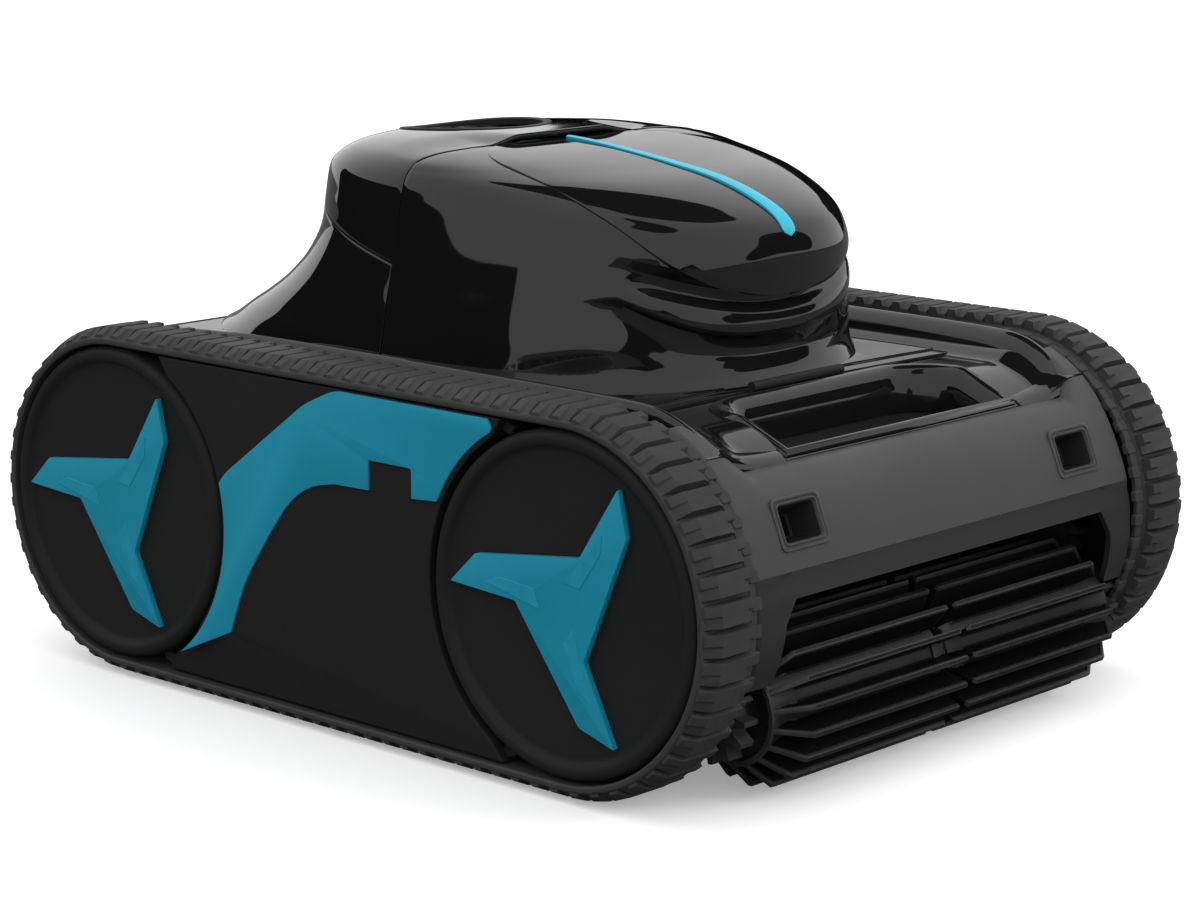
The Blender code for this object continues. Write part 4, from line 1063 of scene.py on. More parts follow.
class Skin:
    """A smooth hood half through level rings."""

    def __init__(self, levels: Sequence[Level], direction: int) -> None:
        """Measure the rings.

        Args:
            levels: The rings from the bottom up.
            direction: -1 for the front half, 1 for the rear.
        """
        self.levels = levels
        self.direction = direction
        self.marks = [0.0]
        for a, b in zip(levels, levels[1:]):
            self.marks.append(self.marks[-1] + math.hypot(b.reach - a.reach, b.z - a.z))
        self.total = self.marks[-1]

    def at(self, mark: float) -> Level:
        """Return the interpolated ring at a distance up the centreline."""
        last = len(self.marks) - 1
        i = 0
        while i < last - 1 and self.marks[i + 1] < mark:
            i += 1
        values = []
        span = self.marks[i + 1] - self.marks[i]
        t = min(1.0, max(0.0, (mark - self.marks[i]) / span))
        for key in ("z", "half", "reach", "power"):
            points = [getattr(level, key) for level in self.levels]
            slope = [self.slope(points, k) * span for k in (i, i + 1)]
            values.append(points[i] * (2 * t**3 - 3 * t**2 + 1) + slope[0] * (t**3 - 2 * t**2 + t)
                          + points[i + 1] * (3 * t**2 - 2 * t**3) + slope[1] * (t**3 - t**2))
        return Level(*values)

    def slope(self, points: Sequence[float], k: int) -> float:
        """Return a ring value's slope at one ring."""
        low, high = max(0, k - 1), min(len(points) - 1, k + 1)
        return (points[high] - points[low]) / (self.marks[high] - self.marks[low])

    def mark_of(self, z: float) -> float:
        """Return the distance up the centreline at which the skin has this height."""
        low, high = 0.0, self.total
        for _ in range(26):
            half = (low + high) / 2
            if self.at(half).z < z:
                low = half
            else:
                high = half
        return (low + high) / 2

    def spot(self, angle: float, mark: float, gap: float, out: float = 0.0) -> Spot:
        """Return a point of the skin.

        Args:
            angle: The angle round the ring, 0 at +X and 180 degrees at -X, in radians.
            mark: The distance up the centreline.
            gap: The clearance to the seam plane.
            out: How far the point stands out from the skin.

        Returns:
            The point in millimetres.
        """
        ring = self.at(mark)
        fullness = 2 / ring.power
        x = max(0.0, ring.half + out) * math.copysign(abs(cos(angle)) ** fullness, cos(angle))
        y = max(0.0, ring.reach + out) * abs(sin(angle)) ** fullness
        return x, SEAM_Y + self.direction * (gap + y), ring.z

    def height(self, x: float, y: float) -> float:
        """Return the skin's height over a point on plan."""
        reach = abs(y - SEAM_Y)
        low, high = 0.0, self.total
        for _ in range(22):
            half = (low + high) / 2
            ring = self.at(half)
            inside = (abs(x) / max(ring.half, 0.1)) ** ring.power + (reach / max(ring.reach,
                                                                                 0.1)) ** ring.power
            if inside < 1:
                low = half
            else:
                high = half
        return self.at(low).z


@dataclass
class Hood:
    """Helmet-shaped hood: front lid with its visor and light, rear cap and skirt."""

    shop: Workshop
    columns: int = 150
    wall: float = 2.4
    seam_gap: float = 0.28
    visor_low: float = 182.6
    visor_limit: float = 51.0
    ledge_half: float = 75.0
    cap_line: float = 193.0
    cap_rise: float = 0.23
    outlet_radius: float = 33.2
    grip_half: float = 48.0
    grip_depth: float = 34.0

    def __post_init__(self) -> None:
        """Lay out the level rings of both halves."""
        base = DECK_TOP + 1.6
        self.front = Skin((
            Level(base, 116.4, 131.0, 2.4), Level(153.0, 114.2, 129.4, 2.4), Level(165.4, 111.8, 129.9, 2.45),
            Level(176.0, 110.0, 130.4, 2.4), Level(187.0, 107.6, 131.6, 2.35),
                           Level(200.0, 105.0, 132.4, 2.28),
            Level(212.0, 102.5, 128.0, 2.2), Level(220.0, 100.8, 115.0, 2.2), Level(227.4, 98.8, 92.5, 2.2),
            Level(232.0, 95.5, 65.0, 2.2), Level(235.5, 90.0, 38.0, 2.2), Level(237.8, 76.0, 15.0, 2.2),
            Level(LID_TOP - 0.1, 55.0, 0.0, 2.2)), -1)
        self.rear = Skin((
            Level(base, 116.0, 184.0, 2.2), Level(150.0, 115.2, 174.0, 2.2), Level(157.0, 114.0, 161.5, 2.2),
            Level(165.0, 112.3, 146.0, 2.2), Level(175.0, 110.6, 129.0, 2.2), Level(187.0, 107.5, 114.5, 2.2),
            Level(201.0, 104.3, 105.0, 2.2), Level(216.0, 101.5, 103.5, 2.2), Level(228.0, 98.6, 102.0, 2.2),
            Level(233.5, 94.0, 96.5, 2.2), Level(237.3, 86.0, 88.0, 2.2), Level(240.2, 70.0, 72.0, 2.2),
            Level(241.8, 52.0, 40.0, 2.2), Level(CAP_TOP - 0.1, 40.0, 0.0, 2.2)), 1)

    def visor_angle(self, z: float) -> float:
        """Return the ring angle of the visor's rim at a height, in degrees."""
        swing = math.sqrt(max(0.0, 58.0 * (z - self.visor_low)))
        limit = self.visor_limit
        return 90.0 - swing / (1 + (swing / limit) ** 8) ** 0.125

    def stations(self, angle: float) -> list[tuple[float, float, float]]:
        """Return the lid's relief at one column.

        Args:
            angle: The column's ring angle, in radians.

        Returns:
            (height, depth, bulge of the stretch that follows) from the bottom up.
        """
        ring = self.front.at(self.front.mark_of(175.0))
        x = ring.half * abs(cos(angle)) ** (2 / ring.power)
        s = min(1.05, x / self.ledge_half)
        fade = 1 - ease(0.80, 1.22, x / self.ledge_half)
        flare = 153.2 + 7.4 * s * s
        under = 166.0 + 17.0 * s**2.6
        over = 175.5 + 13.0 * s * s
        rows = [(self.front.levels[0].z, -0.6, 0.5), (flare, 2.6, 0.9), (under - 1.8, 3.4, 0.0),
                (under - 0.4, 0.9, 0.0),
                (under + 0.7, 0.25, -0.5), (over - 0.6, 1.5, 0.0), (over + 0.8, 3.1, 0.5),
                (over + 3.6, 6.0, 0.0),
                (over + 8.0, 6.0, 0.0), (over + 13.0, 2.0, 0.0)]
        return [(z, depth * fade, bulge * fade) for z, depth, bulge in rows]

    def lid(self) -> Piece:
        """Build the lid below and behind the visor, with its ledge and flare."""
        counts = (7, 8, 4, 2, 7, 3, 5, 5, 6)
        upper = 46
        rows = sum(counts) + upper
        columns = self.columns
        skin = self.front
        table = []
        for i in range(columns + 1):
            angle = pi * i / columns
            stations = self.stations(angle)
            column = []
            for (z0, d0, bulge), (z1, d1, _), count in zip(stations, stations[1:], counts):
                for k in range(count):
                    t = k / count
                    column.append((skin.mark_of(mix(z0, z1, t)), mix(d0, d1, t) + bulge * 4 * t * (1 - t)))
            start = skin.mark_of(stations[-1][0])
            for k in range(upper + 1):
                mark = mix(start, skin.total, k / upper)
                z = skin.at(mark).z
                turn = math.degrees(min(angle, pi - angle))
                hidden = ease(self.visor_angle(z) + 0.5, self.visor_angle(z) + 7.0, turn)
                depth = stations[-1][1] * (1 - ease(0, 12, z - stations[-1][0])) + 3.0 * hidden
                column.append((mark, depth))
            table.append((angle, column))

        def place(i: int, j: int) -> Spot:
            """Place one point of the sheet."""
            angle, column = table[i]
            mark, depth = column[j]
            x, y, z = skin.spot(angle, mark, self.seam_gap, -depth)
            sink = depth * ease(218.0, 234.0, z)
            return x, y, z - sink

        lid = Bench.face_away(Bench.sheet("lid", columns, rows, place), (0, -40, 170))
        return Bench.smooth(Bench.soften(Bench.wall(lid, self.wall), 0.2, 2, 65), 36)

    def visor(self) -> Piece:
        """Build the domed visor that overhangs the lid's groove."""
        skin = self.front
        columns, lower, upper = 110, 46, 44
        turn_mark = skin.mark_of(214.0)
        reach = math.sqrt(58.0 * (214.0 - self.visor_low))

        def place(i: int, j: int) -> Spot:
            """Place one point of the sheet."""
            if j <= lower:
                swing = mix(3.0, reach, j / lower)
                mark = skin.mark_of(self.visor_low + swing * swing / 58.0)
            else:
                mark = mix(turn_mark, skin.total, (j - lower) / upper)
            z = skin.at(mark).z
            rim = self.visor_angle(z)
            angle = radians(mix(rim, 180 - rim, i / columns))
            x, y, _ = skin.spot(angle, mark, self.seam_gap, 0.0)
            edge = ease(0.0, 0.09, min(i, columns - i) / columns)
            proud = mix(0.35, 1.1, ease(15.0, -25.0, y)) * mix(0.75, 1.0, edge)
            x, y, z = skin.spot(angle, mark, self.seam_gap, proud * (1 - ease(222.0, 236.0, z)))
            return x, y, min(z + proud * ease(222.0, 236.0, z) * 0.7, CAP_TOP - 0.6)

        visor = Bench.face_away(Bench.sheet("visor", columns, lower + upper, place), (0, -40, 170))
        return Bench.smooth(Bench.soften(Bench.wall(visor, 2.2), 0.6, 3, 55), 36)

    def light(self) -> Piece:
        """Build the status light: a slim lens along the visor, round at its front end."""
        skin = self.front
        rows, columns = 80, 8
        start = skin.total - 3.5
        end = skin.mark_of(206.5)
        length = start - end

        def place(i: int, j: int) -> Spot:
            """Place one point of the sheet."""
            share = j / rows
            along = length * share
            width = mix(1.9, 4.3, share)
            left = length - along
            if left < width:
                width *= math.sqrt(max(0.0, 1 - (1 - left / width) ** 2))
            mark = start - along
            before = skin.spot(pi / 2, mark + 0.5, self.seam_gap)
            after = skin.spot(pi / 2, mark - 0.5, self.seam_gap)
            slope = Vector((0, after[1] - before[1], after[2] - before[2])).normalized()
            normal = Vector((0, slope.z, -slope.y))
            if normal.z < 0:
                normal = -normal
            _, y, z = skin.spot(pi / 2, mark, self.seam_gap)
            across = (2 * i / columns - 1) * width
            lift = 1.35 + 0.35 * (1 - (2 * i / columns - 1) ** 2)
            return across, y + normal.y * lift, z + normal.z * lift

        light = Bench.face_away(Bench.sheet("light", columns, rows, place), (0, -40, 150))
        return Bench.smooth(Bench.wall(light, 1.5), 45)

    def line_mark(self, angle: float, shift: float) -> float:
        """Return where the cap and skirt part on one column of the rear half."""
        low, high = 0.0, self.rear.total
        for _ in range(24):
            half = (low + high) / 2
            _, y, z = self.rear.spot(angle, half, self.seam_gap)
            if z < self.cap_line + shift + (y - SEAM_Y) * self.cap_rise:
                low = half
            else:
                high = half
        return (low + high) / 2

    def rear_part(self, name: str, rows: int, is_cap: bool) -> Piece:
        """Build the rear cap or the skirt under it."""
        columns = self.columns
        ends = []
        for i in range(columns + 1):
            angle = pi * i / columns
            shift = 0.35 if is_cap else -0.35
            line = self.line_mark(angle, shift)
            ends.append((angle, line, self.rear.total) if is_cap else (angle, 0.0, line))

        def place(i: int, j: int) -> Spot:
            """Place one point of the sheet."""
            angle, low, high = ends[i]
            x, y, z = self.rear.spot(angle, mix(low, high, j / rows), self.seam_gap)
            near = ease(self.grip_depth, 0.0, y - SEAM_Y) if y - SEAM_Y < self.grip_depth else 0.0
            if near > 0 and z > 225.0:
                beside = ease(self.grip_half * 0.55, self.grip_half, abs(x))
                z -= near * beside * max(0.0, z - 0.3 - self.front.height(x, SEAM_Y - 0.5))
            return x, y, z

        part = Bench.sheet(name, columns, rows, place)
        return Bench.wall(Bench.face_away(part, (0, 60, 170)), self.wall)

    def cap(self) -> Piece:
        """Build the cap with its round outlet."""
        cap = self.rear_part("cap", 80, True)
        outlet = arc((0, OUTLET_Y), self.outlet_radius, 0, 355, 71)
        cap = Bench.carve(cap, Bench.plate("outlet", outlet, Axis.Z, 215.0, CAP_TOP + 8))
        return Bench.smooth(Bench.soften(cap, 0.22, 2, 58), 36)

    def skirt(self) -> Piece:
        """Build the skirt that sweeps down to the deck."""
        return Bench.smooth(Bench.soften(self.rear_part("skirt", 60, False), 0.2, 2, 65), 36)

    def bezel(self) -> Piece:
        """Build the ring round the outlet, lying on the cap."""
        section = [(self.outlet_radius - 2.2, -2.6), (self.outlet_radius - 2.2, 0.1),
                   (self.outlet_radius - 1.6, 0.6),
                   (self.outlet_radius + 0.8, 0.75), (self.outlet_radius + 1.6, 0.45),
                   (self.outlet_radius + 2.0, -0.3),
                   (self.outlet_radius + 0.2, -2.6)]
        steps = 96

        def place(i: int, j: int) -> Spot:
            """Place one point of the sheet."""
            radius, lift = section[j % len(section)]
            angle = 2 * pi * i / steps
            x, y = radius * cos(angle), OUTLET_Y + radius * sin(angle)
            flat = self.outlet_radius
            z = self.rear.height(flat * cos(angle), OUTLET_Y + flat * sin(angle))
            return x, y, min(z + lift, CAP_TOP - 0.05)

        return Bench.smooth(Bench.sheet("bezel", steps, len(section), place), 40)

    def build(self) -> None:
        """Build the whole hood."""
        self.shop.settle(self.lid(), "lid", Finishes.gloss, "lid")
        self.shop.settle(self.visor(), "lid", Finishes.gloss)
        self.shop.settle(self.light(), "lid", Finishes.cyan, "light_strip")
        self.shop.settle(self.cap(), "hull", Finishes.gloss, "rear_cap")
        self.shop.settle(self.skirt(), "hull", Finishes.gloss, "rear_skirt")
        self.shop.settle(self.bezel(), "hull", Finishes.matte)


# ---- deck, bumpers ----------------------------------------------------------------
@dataclass
class Deck:
    """Top deck that rolls down ahead of the hood, with its hand pocket and side rails."""

    shop: Workshop
    half: float = 127.0
    front: float = -180.6
    rear: float = 188.6
    roll_start: float = -150.0
    roll_drop: float = 12.6
    pocket_half: float = 76.0
    pocket_rear: float = -126.5
    pocket_corner: float = 27.0
    pocket_floor: float = 116.0

    def height(self, x: float, y: float) -> float:
        """Return the deck's height at a point on plan."""
        share = max(0.0, (self.roll_start - y) / (self.roll_start - self.front))
        side = ease(96.0, 118.0, abs(x))
        drop = mix(self.roll_drop, 5.0, side) * share**1.7
        rise = 4.6 * ease(100.0, 114.0, abs(x)) * (1 - ease(-150.0, -176.0, y))
        return DECK_TOP - 0.2 - drop + rise

    def pocket_outline(self, inset: float) -> list[Flat]:
        """Return the D-shaped pocket's outline, its straight side at the front."""
        half = self.pocket_half - inset
        rear = self.pocket_rear - inset
        front = self.front + 2.6 + inset * 0.6
        r = self.pocket_corner - inset * 0.5
        outline = [(-half, front), (0.0, front), (half, front)]
        outline += arc((half - r, rear - r), r, 0, 90, 14)
        outline += [(0.0, rear)]
        outline += arc((-half + r, rear - r), r, 90, 180, 14)
        return outline

    def plate(self) -> Piece:
        """Build the deck with its pocket, filter and motor openings."""
        columns, rows = 110, 120

        def place(i: int, j: int) -> Spot:
            """Place one point of the sheet."""
            x = mix(-self.half, self.half, i / columns)
            y = self.front + (self.rear - self.front) * (j / rows) ** 1.5
            return x, y, self.height(x, y)

        deck = Bench.wall(Bench.face_away(Bench.sheet("deck", columns, rows, place), (0, 0, 60)), 2.4)
        cutters = [Bench.plate("pocket", self.pocket_outline(0.3), Axis.Z, 100.0, 160.0),
                   Bench.plate("filter", rounded([(-75, -83), (75, -83), (75, 16), (-75, 16)], 4), Axis.Z,
                               120.0, 170.0),
                   Bench.plate("motor", rounded([(-60, 24), (60, 24), (60, 119), (-60, 119)], 4), Axis.Z,
                               120.0, 170.0)]
        for cutter in cutters:
            deck = Bench.carve(deck, cutter)
        return Bench.smooth(deck, 32)

    def pocket(self) -> list[Piece]:
        """Build the pocket: its rolled upper edge and the well below it."""
        steps = [(-1.6, -0.9), (-0.6, 0.35), (0.5, 0.45), (1.8, -0.1), (3.2, -1.2), (4.6, -3.0), (5.6, -5.6),
                 (6.1, -9.0),
                 (6.6, -18.0), (7.6, -24.0), (10.0, -27.2), (14.0, -28.0), (24.0, -28.0)]
        rings = [self.pocket_outline(inset) for inset, _ in steps]
        count = len(rings[0])

        def place(i: int, j: int) -> Spot:
            """Place one point of the sheet."""
            x, y = rings[j][i % count]
            top = self.height(x, max(y, self.front + 0.5))
            drop = steps[j][1]
            z = top + drop if drop > -6 else mix(top - 6, self.pocket_floor, (-drop - 6) / 22)
            return x, y, z

        split = 8
        rim = Bench.sheet("pocket_rim", count, split, place)
        well = Bench.sheet("pocket_well", count, len(steps) - 1 - split, lambda i, j: place(i, j + split))
        Bench.cap_lowest(well)
        for piece in (rim, well):
            Bench.face_away(piece, (0, -150, 90))
            Bench.smooth(Bench.wall(piece, 1.4), 50)
        return [rim, well]

    def rail(self) -> Piece:
        """Build the left rail: a ridge beside the belt that turns in along the nose."""
        crest = [(121.5, 150, 152), (122, 90, 155.4), (122, 20, 156.0), (122, -50, 156.0), (122, -100, 155.8),
                 (122, -135, 155.2), (121.8, -150, 153.8), (121.2, -161, 150.2), (119.6, -170.5, 144.6),
                 (116.2, -177.0, 138.4), (110.5, -180.2, 134.0), (102.0, -181.2, 132.0),
                 (92.0, -181.3, 131.4),
                 (80.0, -181.3, 131.2)]
        foot = [(112, 150, 146), (111.5, 90, 148.0), (111.5, 20, 148.6), (111.5, -50, 149.0),
                (111.5, -100, 149.0),
                (111.5, -135, 148.6), (111.3, -148, 147.6), (110.6, -157, 145.0), (108.6, -164.0, 141.4),
                (104.6, -168.6, 138.2), (99.0, -171.0, 136.4), (92.0, -172.2, 135.6), (85.0, -172.8, 135.2),
                (77.0, -173.2, 135.0)]
        steps = 150
        shape = [(-0.06, -2.5, 0.0), (0.0, 0.0, 0.0), (0.30, 1.1, 0.0), (0.60, 1.5, 0.0), (0.85, 1.2, 0.0),
                 (1.0, 0.35, 0.0), (1.06, -0.9, 1.4), (1.10, -3.2, 2.6), (1.12, -8.0, 3.0), (0.6, -9.0, 0.0)]
        count = len(shape)

        def place(i: int, j: int) -> Spot:
            """Place one point of the sheet."""
            share, lift, out = shape[j % count] if 0 < i < steps else (0.5, -4.0, 0.0)
            top = follow(crest, i / steps)
            low = follow(foot, i / steps)
            away = Vector((top.x - low.x, top.y - low.y, 0)).normalized()
            base = low.lerp(top, share)
            taper = mix(1.0, 0.6, ease(0.86, 1.0, i / steps))
            return base.x + away.x * out * 0.5, base.y + away.y * out * 0.5, base.z + lift * taper

        return Bench.smooth(Bench.sheet("rail", steps, count, place), 40)

    def plinth(self, name: str, reach: float, half: float, low: float, high: float) -> Piece:
        """Build one low step round the hood's foot."""
        front = [(mix(-half, half, k / 24), reach - 5.0 * (mix(-1, 1, k / 24)) ** 2) for k in range(25)]
        outline = rounded([*front, (half, 150.0), (-half, 150.0)], 2.5, 2)
        step = Bench.plate(name, outline, Axis.Z, low, high)
        for opening in ([(-75, -83), (75, -83), (75, 16), (-75, 16)],
                        [(-60, 24), (60, 24), (60, 119), (-60, 119)]):
            step = Bench.carve(step, Bench.plate("opening", opening, Axis.Z, low - 5, high + 5))
        return Bench.smooth(Bench.soften(step, 0.45, 2, 40), 30)

    def build(self) -> None:
        """Build the deck and what is moulded on it."""
        self.shop.settle(self.plate(), "hull", Finishes.gloss, "deck_cover")
        for piece, finish in zip(self.pocket(), (Finishes.gloss, Finishes.matte)):
            self.shop.settle(piece, "hull", finish)
        self.shop.pair(self.rail(), "deck_rail", "hull", Finishes.gloss)
        self.shop.settle(self.plinth("hood_step_low", -119.6, 108.0, 142.6, DECK_TOP + 0.9), "hull",
                         Finishes.gloss)
        self.shop.settle(self.plinth("hood_step_high", -112.2, 104.0, 142.8, DECK_TOP + 2.1), "hull",
                         Finishes.gloss)


@dataclass
class Nose:
    """Front bumper with its jet vents and the legs beside the brush."""

    shop: Workshop
    half: float = 130.0
    line: float = 94.7
    window: float = 84.2
    vent_x: float = 93.7
    vent_z: float = 112.0

    def section(self, share: float) -> list[Flat]:
        """Return the (y, z) line from deck seam to crease, from the middle (0) to the ends (1)."""
        middle = [(-180.8, 131.0), (-184.5, 130.6), (-188.6, 128.6), (-192.4, 125.0), (-196.0, 119.8),
                  (-199.4, 113.0),
                  (-202.4, 105.5), (-204.4, 99.6), (-205.9, self.line)]
        end = [(-163.0, 149.0), (-171.5, 144.8), (-179.2, 139.4), (-186.0, 132.8), (-192.0, 125.0),
               (-197.2, 116.0),
               (-201.6, 106.5), (-204.2, 100.0), (-205.9, self.line)]
        return [(mix(a[0], b[0], share), mix(a[1], b[1], share)) for a, b in zip(middle, end)]

    def foot(self, x: float) -> float:
        """Return the height of the lower edge at this distance from the middle."""
        if x < 105.0:
            return self.window
        if x < 111.0:
            return mix(self.window, 75.0, (x - 105.0) / 6.0)
        return mix(75.0, 50.5, ease(111.0, 115.0, x))

    def shell(self) -> Piece:
        """Build the bumper's face, its lower band and the legs."""
        stops = [0.0, 60.0, 98.0, 104.0, 106.0, 111.0, 112.0, 113.0, 114.0, 115.5, 120.0, 126.0, 128.6,
                 129.6, self.half]
        counts = [16, 16, 4, 3, 5, 3, 3, 3, 3, 6, 5, 3, 2, 2]
        half = [mix(a, b, k / n) for a, b, n in zip(stops, stops[1:], counts) for k in range(n)] + [self.half]
        across = [-x for x in reversed(half)] + half[1:]
        face_rows, band_rows = 34, 14
        lower = [(self.line, -205.9), (94.2, -205.4), (92.0, -205.8), (88.0, -206.8), (self.window, -207.8),
                 (70.0, -208.6), (60.0, -206.9), (50.0, -203.6)]

        def depth(z: float) -> float:
            """Return how far the lower line lies ahead at a height."""
            for (z0, y0), (z1, y1) in zip(lower, lower[1:]):
                if z1 <= z <= z0:
                    return mix(y0, y1, (z0 - z) / (z0 - z1))
            return lower[-1][1]

        def place(i: int, j: int) -> Spot:
            """Place one point of the sheet."""
            x = across[i]
            share = ease(107.0, 121.0, abs(x))
            turn = ease(126.5, self.half, abs(x))
            if j <= face_rows:
                y, z = follow(self.section(share), j / face_rows)
            else:
                k = (j - face_rows) / band_rows
                z = mix(self.line, self.foot(abs(x)), k)
                y = depth(z)
            return x, y + 2.2 * turn * turn, z - 0.6 * turn * turn

        shell = Bench.sheet("bumper", len(across) - 1, face_rows + band_rows, place)
        shell = Bench.wall(Bench.face_away(shell, (0, -120, 90)), 2.6)
        for sign in (-1, 1):
            shell = Bench.carve(shell, self.vent_plug(sign))
        return Bench.smooth(shell, 30)

    def vent_frame(self, sign: int) -> tuple[Vector, Vector, Vector]:
        """Return a vent's centre, its upward direction and its outward direction."""
        out = Vector((0, -0.925, 0.38)).normalized()
        up = Vector((0, -0.38, -0.925)).normalized() * -1
        return Vector((sign * self.vent_x, -199.9, self.vent_z)), up, out

    def vent_ring(self, sign: int, wide: float, tall: float, corner: float, out: float) -> list[Vector]:
        """Return a rounded rectangle in the vent's plane, at a depth."""
        centre, up, normal = self.vent_frame(sign)
        outline = rounded([(-wide, -tall), (wide, -tall), (wide, tall), (-wide, tall)], corner, 6)
        return [centre + Vector((a, 0, 0)) + up * b + normal * out for a, b in outline]

    def vent_plug(self, sign: int) -> Piece:
        """Build the closed block that cuts a vent's opening."""
        outline = rounded([(-12.6, -8.6), (12.6, -8.6), (12.6, 8.6), (-12.6, 8.6)], 2.6, 6)
        block = Bench.plate("block", outline, Axis.Z, -14.0, 12.0)
        centre, up, out = self.vent_frame(sign)
        turn = Matrix((Vector((1, 0, 0)), up, out)).transposed().to_4x4()
        plug = Bench.copy(block, "plug", Matrix.Translation(centre) @ turn)
        bpy.data.objects.remove(block, do_unlink=True)
        return plug

    def funnel(self, name: str, steps: Sequence[tuple[float, float, float, float]]) -> Piece:
        """Build a thin funnel through rounded rectangles in the left vent.

        Args:
            name: The piece's name.
            steps: (half-width, half-height, corner, depth) of each ring, from the outside in.

        Returns:
            The closed funnel.
        """
        rings = [self.vent_ring(1, *step) for step in steps]
        count = len(rings[0])
        funnel = Bench.sheet(name, count, len(steps) - 1, lambda i, j: tuple(rings[j][i % count]))
        centre, _, out = self.vent_frame(1)
        Bench.face_away(funnel, tuple(centre - out * 40))
        return Bench.smooth(Bench.wall(funnel, 0.7), 35)

    def frame_ring(self) -> Piece:
        """Build the raised double frame round the vent."""
        return self.funnel("vent_frame", [
            (14.8, 10.8, 3.4, -0.6), (14.8, 10.8, 3.4, 0.3), (14.4, 10.4, 3.2, 0.6), (13.6, 9.6, 2.9, 0.6),
            (13.2, 9.2, 2.8, 0.0), (12.9, 8.9, 2.7, 0.0), (12.5, 8.5, 2.6, 0.7), (12.0, 8.0, 2.4, 0.7),
            (11.6, 7.6, 2.2, 0.2), (11.3, 7.3, 2.1, -1.4)])

    def throat(self) -> Piece:
        """Build the vent's dark tapered throat."""
        return self.funnel("throat", [
            (11.25, 7.25, 2.1, -0.9), (9.6, 6.2, 1.7, -6.0), (7.4, 4.8, 1.3, -12.0), (6.4, 4.0, 1.1, -12.6),
            (6.2, 3.8, 1.1, -17.0), (3.0, 1.8, 0.5, -17.0), (0.2, 0.1, 0.02, -17.0)])

    def build(self) -> None:
        """Build the bumper and both vents."""
        bumper = self.shop.settle(self.shell(), "hull", Finishes.satin, "front_bumper")
        # The faces below the crease take the darker satin copy: painted shade on the lower band.
        bumper.data.materials.append(self.shop.paint.material(Finishes.satin_low))
        for face in bumper.data.polygons:
            face.material_index = int(face.center.z < (self.line - 0.4) * MM)
        self.shop.pair(self.frame_ring(), "jet_vent", "hull", Finishes.satin, "vent_frame_{}")
        self.shop.pair(self.throat(), "jet_throat", "hull", Finishes.matte)


@dataclass
class Tail:
    """Rear bumper with the power button and the charge port's cap."""

    shop: Workshop
    half: float = 130.0

    def shell(self) -> Piece:
        """Build the rear bumper with its two windows."""
        line = [(189.0, 144.2), (196.0, 141.5), (203.5, 136.5), (209.5, 127.5), (213.5, 115.5),
                (216.4, 103.0),
                (217.3, 90.0), (217.3, 72.0), (216.2, 56.0), (212.6, 44.0), (207.6, 34.5)]
        columns, rows = 90, 64
        stops = [-self.half, -128.8, -124.0, 124.0, 128.8, self.half]

        def place(i: int, j: int) -> Spot:
            """Place one point of the sheet."""
            counts = (8, 8, 58, 8, 8)
            k = i
            x = self.half
            for low, high, count in zip(stops, stops[1:], counts):
                if k <= count:
                    x = mix(low, high, k / count)
                    break
                k -= count
            turn = ease(122.0, self.half, abs(x))
            y, z = follow(line, j / rows)
            return x, y - 3.0 * turn * turn, z - 0.5 * turn

        shell = Bench.wall(Bench.face_away(Bench.sheet("tail", columns, rows, place), (0, 120, 90)), 2.6)
        windows = (("power_button", 0.5), ("charge_port_cap", 0.6))
        for node, gap in windows:
            low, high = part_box(node)
            x0, x1 = low.x / MM - gap, high.x / MM + gap
            z0, z1 = low.z / MM - gap, high.z / MM + gap
            outline = rounded([(x0, z0), (x1, z0), (x1, z1), (x0, z1)], 2.0, 4)
            shell = Bench.carve(shell, Bench.plate("window", outline, Axis.Y, 205.0, 224.0))
        return Bench.smooth(Bench.soften(shell, 0.4, 2, 60), 30)

    def button(self) -> Piece:
        """Build the push button: a flat bevelled face with a raised ring."""
        low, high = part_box("power_button")
        x, _, z = middle_of("power_button")
        radius = (high.x - low.x) / 2 / MM
        face = high.y / MM
        corners = [(x - radius, z - radius), (x + radius, z - radius), (x + radius, z + radius),
                   (x - radius, z + radius)]
        cap = Bench.soften(Bench.plate("button", rounded(corners, 2.0, 4), Axis.Y, low.y / MM, face), 0.5, 2,
                           40)
        ring = Bench.plate("mark", arc((x, z), 5.2, 0, 350, 35), Axis.Y, face - 0.6, face + 0.35)
        ring = Bench.carve(ring, Bench.plate("bore", arc((x, z), 4.2, 0, 350, 35), Axis.Y, face - 2,
                                             face + 2))
        return Bench.smooth(Bench.joined("button", [cap, Bench.soften(ring, 0.15, 1, 40)]), 30)

    def port_cap(self) -> Piece:
        """Build the port's rubber cap with its finger lip."""
        low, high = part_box("charge_port_cap")
        x0, x1, z0, z1 = low.x / MM, high.x / MM, low.z / MM, high.z / MM
        outline = rounded([(x0, z0), (x1, z0), (x1, z1), (x0, z1)], 2.0, 4)
        cap = Bench.soften(Bench.plate("port_cap", outline, Axis.Y, low.y / MM, high.y / MM), 0.4, 2, 40)
        lip = rounded([(x0 + 5, z1 - 3.2), (x1 - 5, z1 - 3.2), (x1 - 6, z1 - 0.8), (x0 + 6, z1 - 0.8)], 0.8,
                      2)
        lip = Bench.soften(Bench.plate("lip", lip, Axis.Y, high.y / MM - 0.4, high.y / MM + 0.15), 0.1, 1, 40)
        return Bench.smooth(Bench.joined("port_cap", [cap, lip]), 30)

    def build(self) -> None:
        """Build the rear bumper and its controls."""
        self.shop.settle(self.shell(), "hull", Finishes.satin, "rear_bumper")
        self.shop.settle(self.button(), "power_button", Finishes.teal, "power_button")
        self.shop.settle(self.port_cap(), "charge_port_cap", Finishes.rubber, "charge_port_cap")


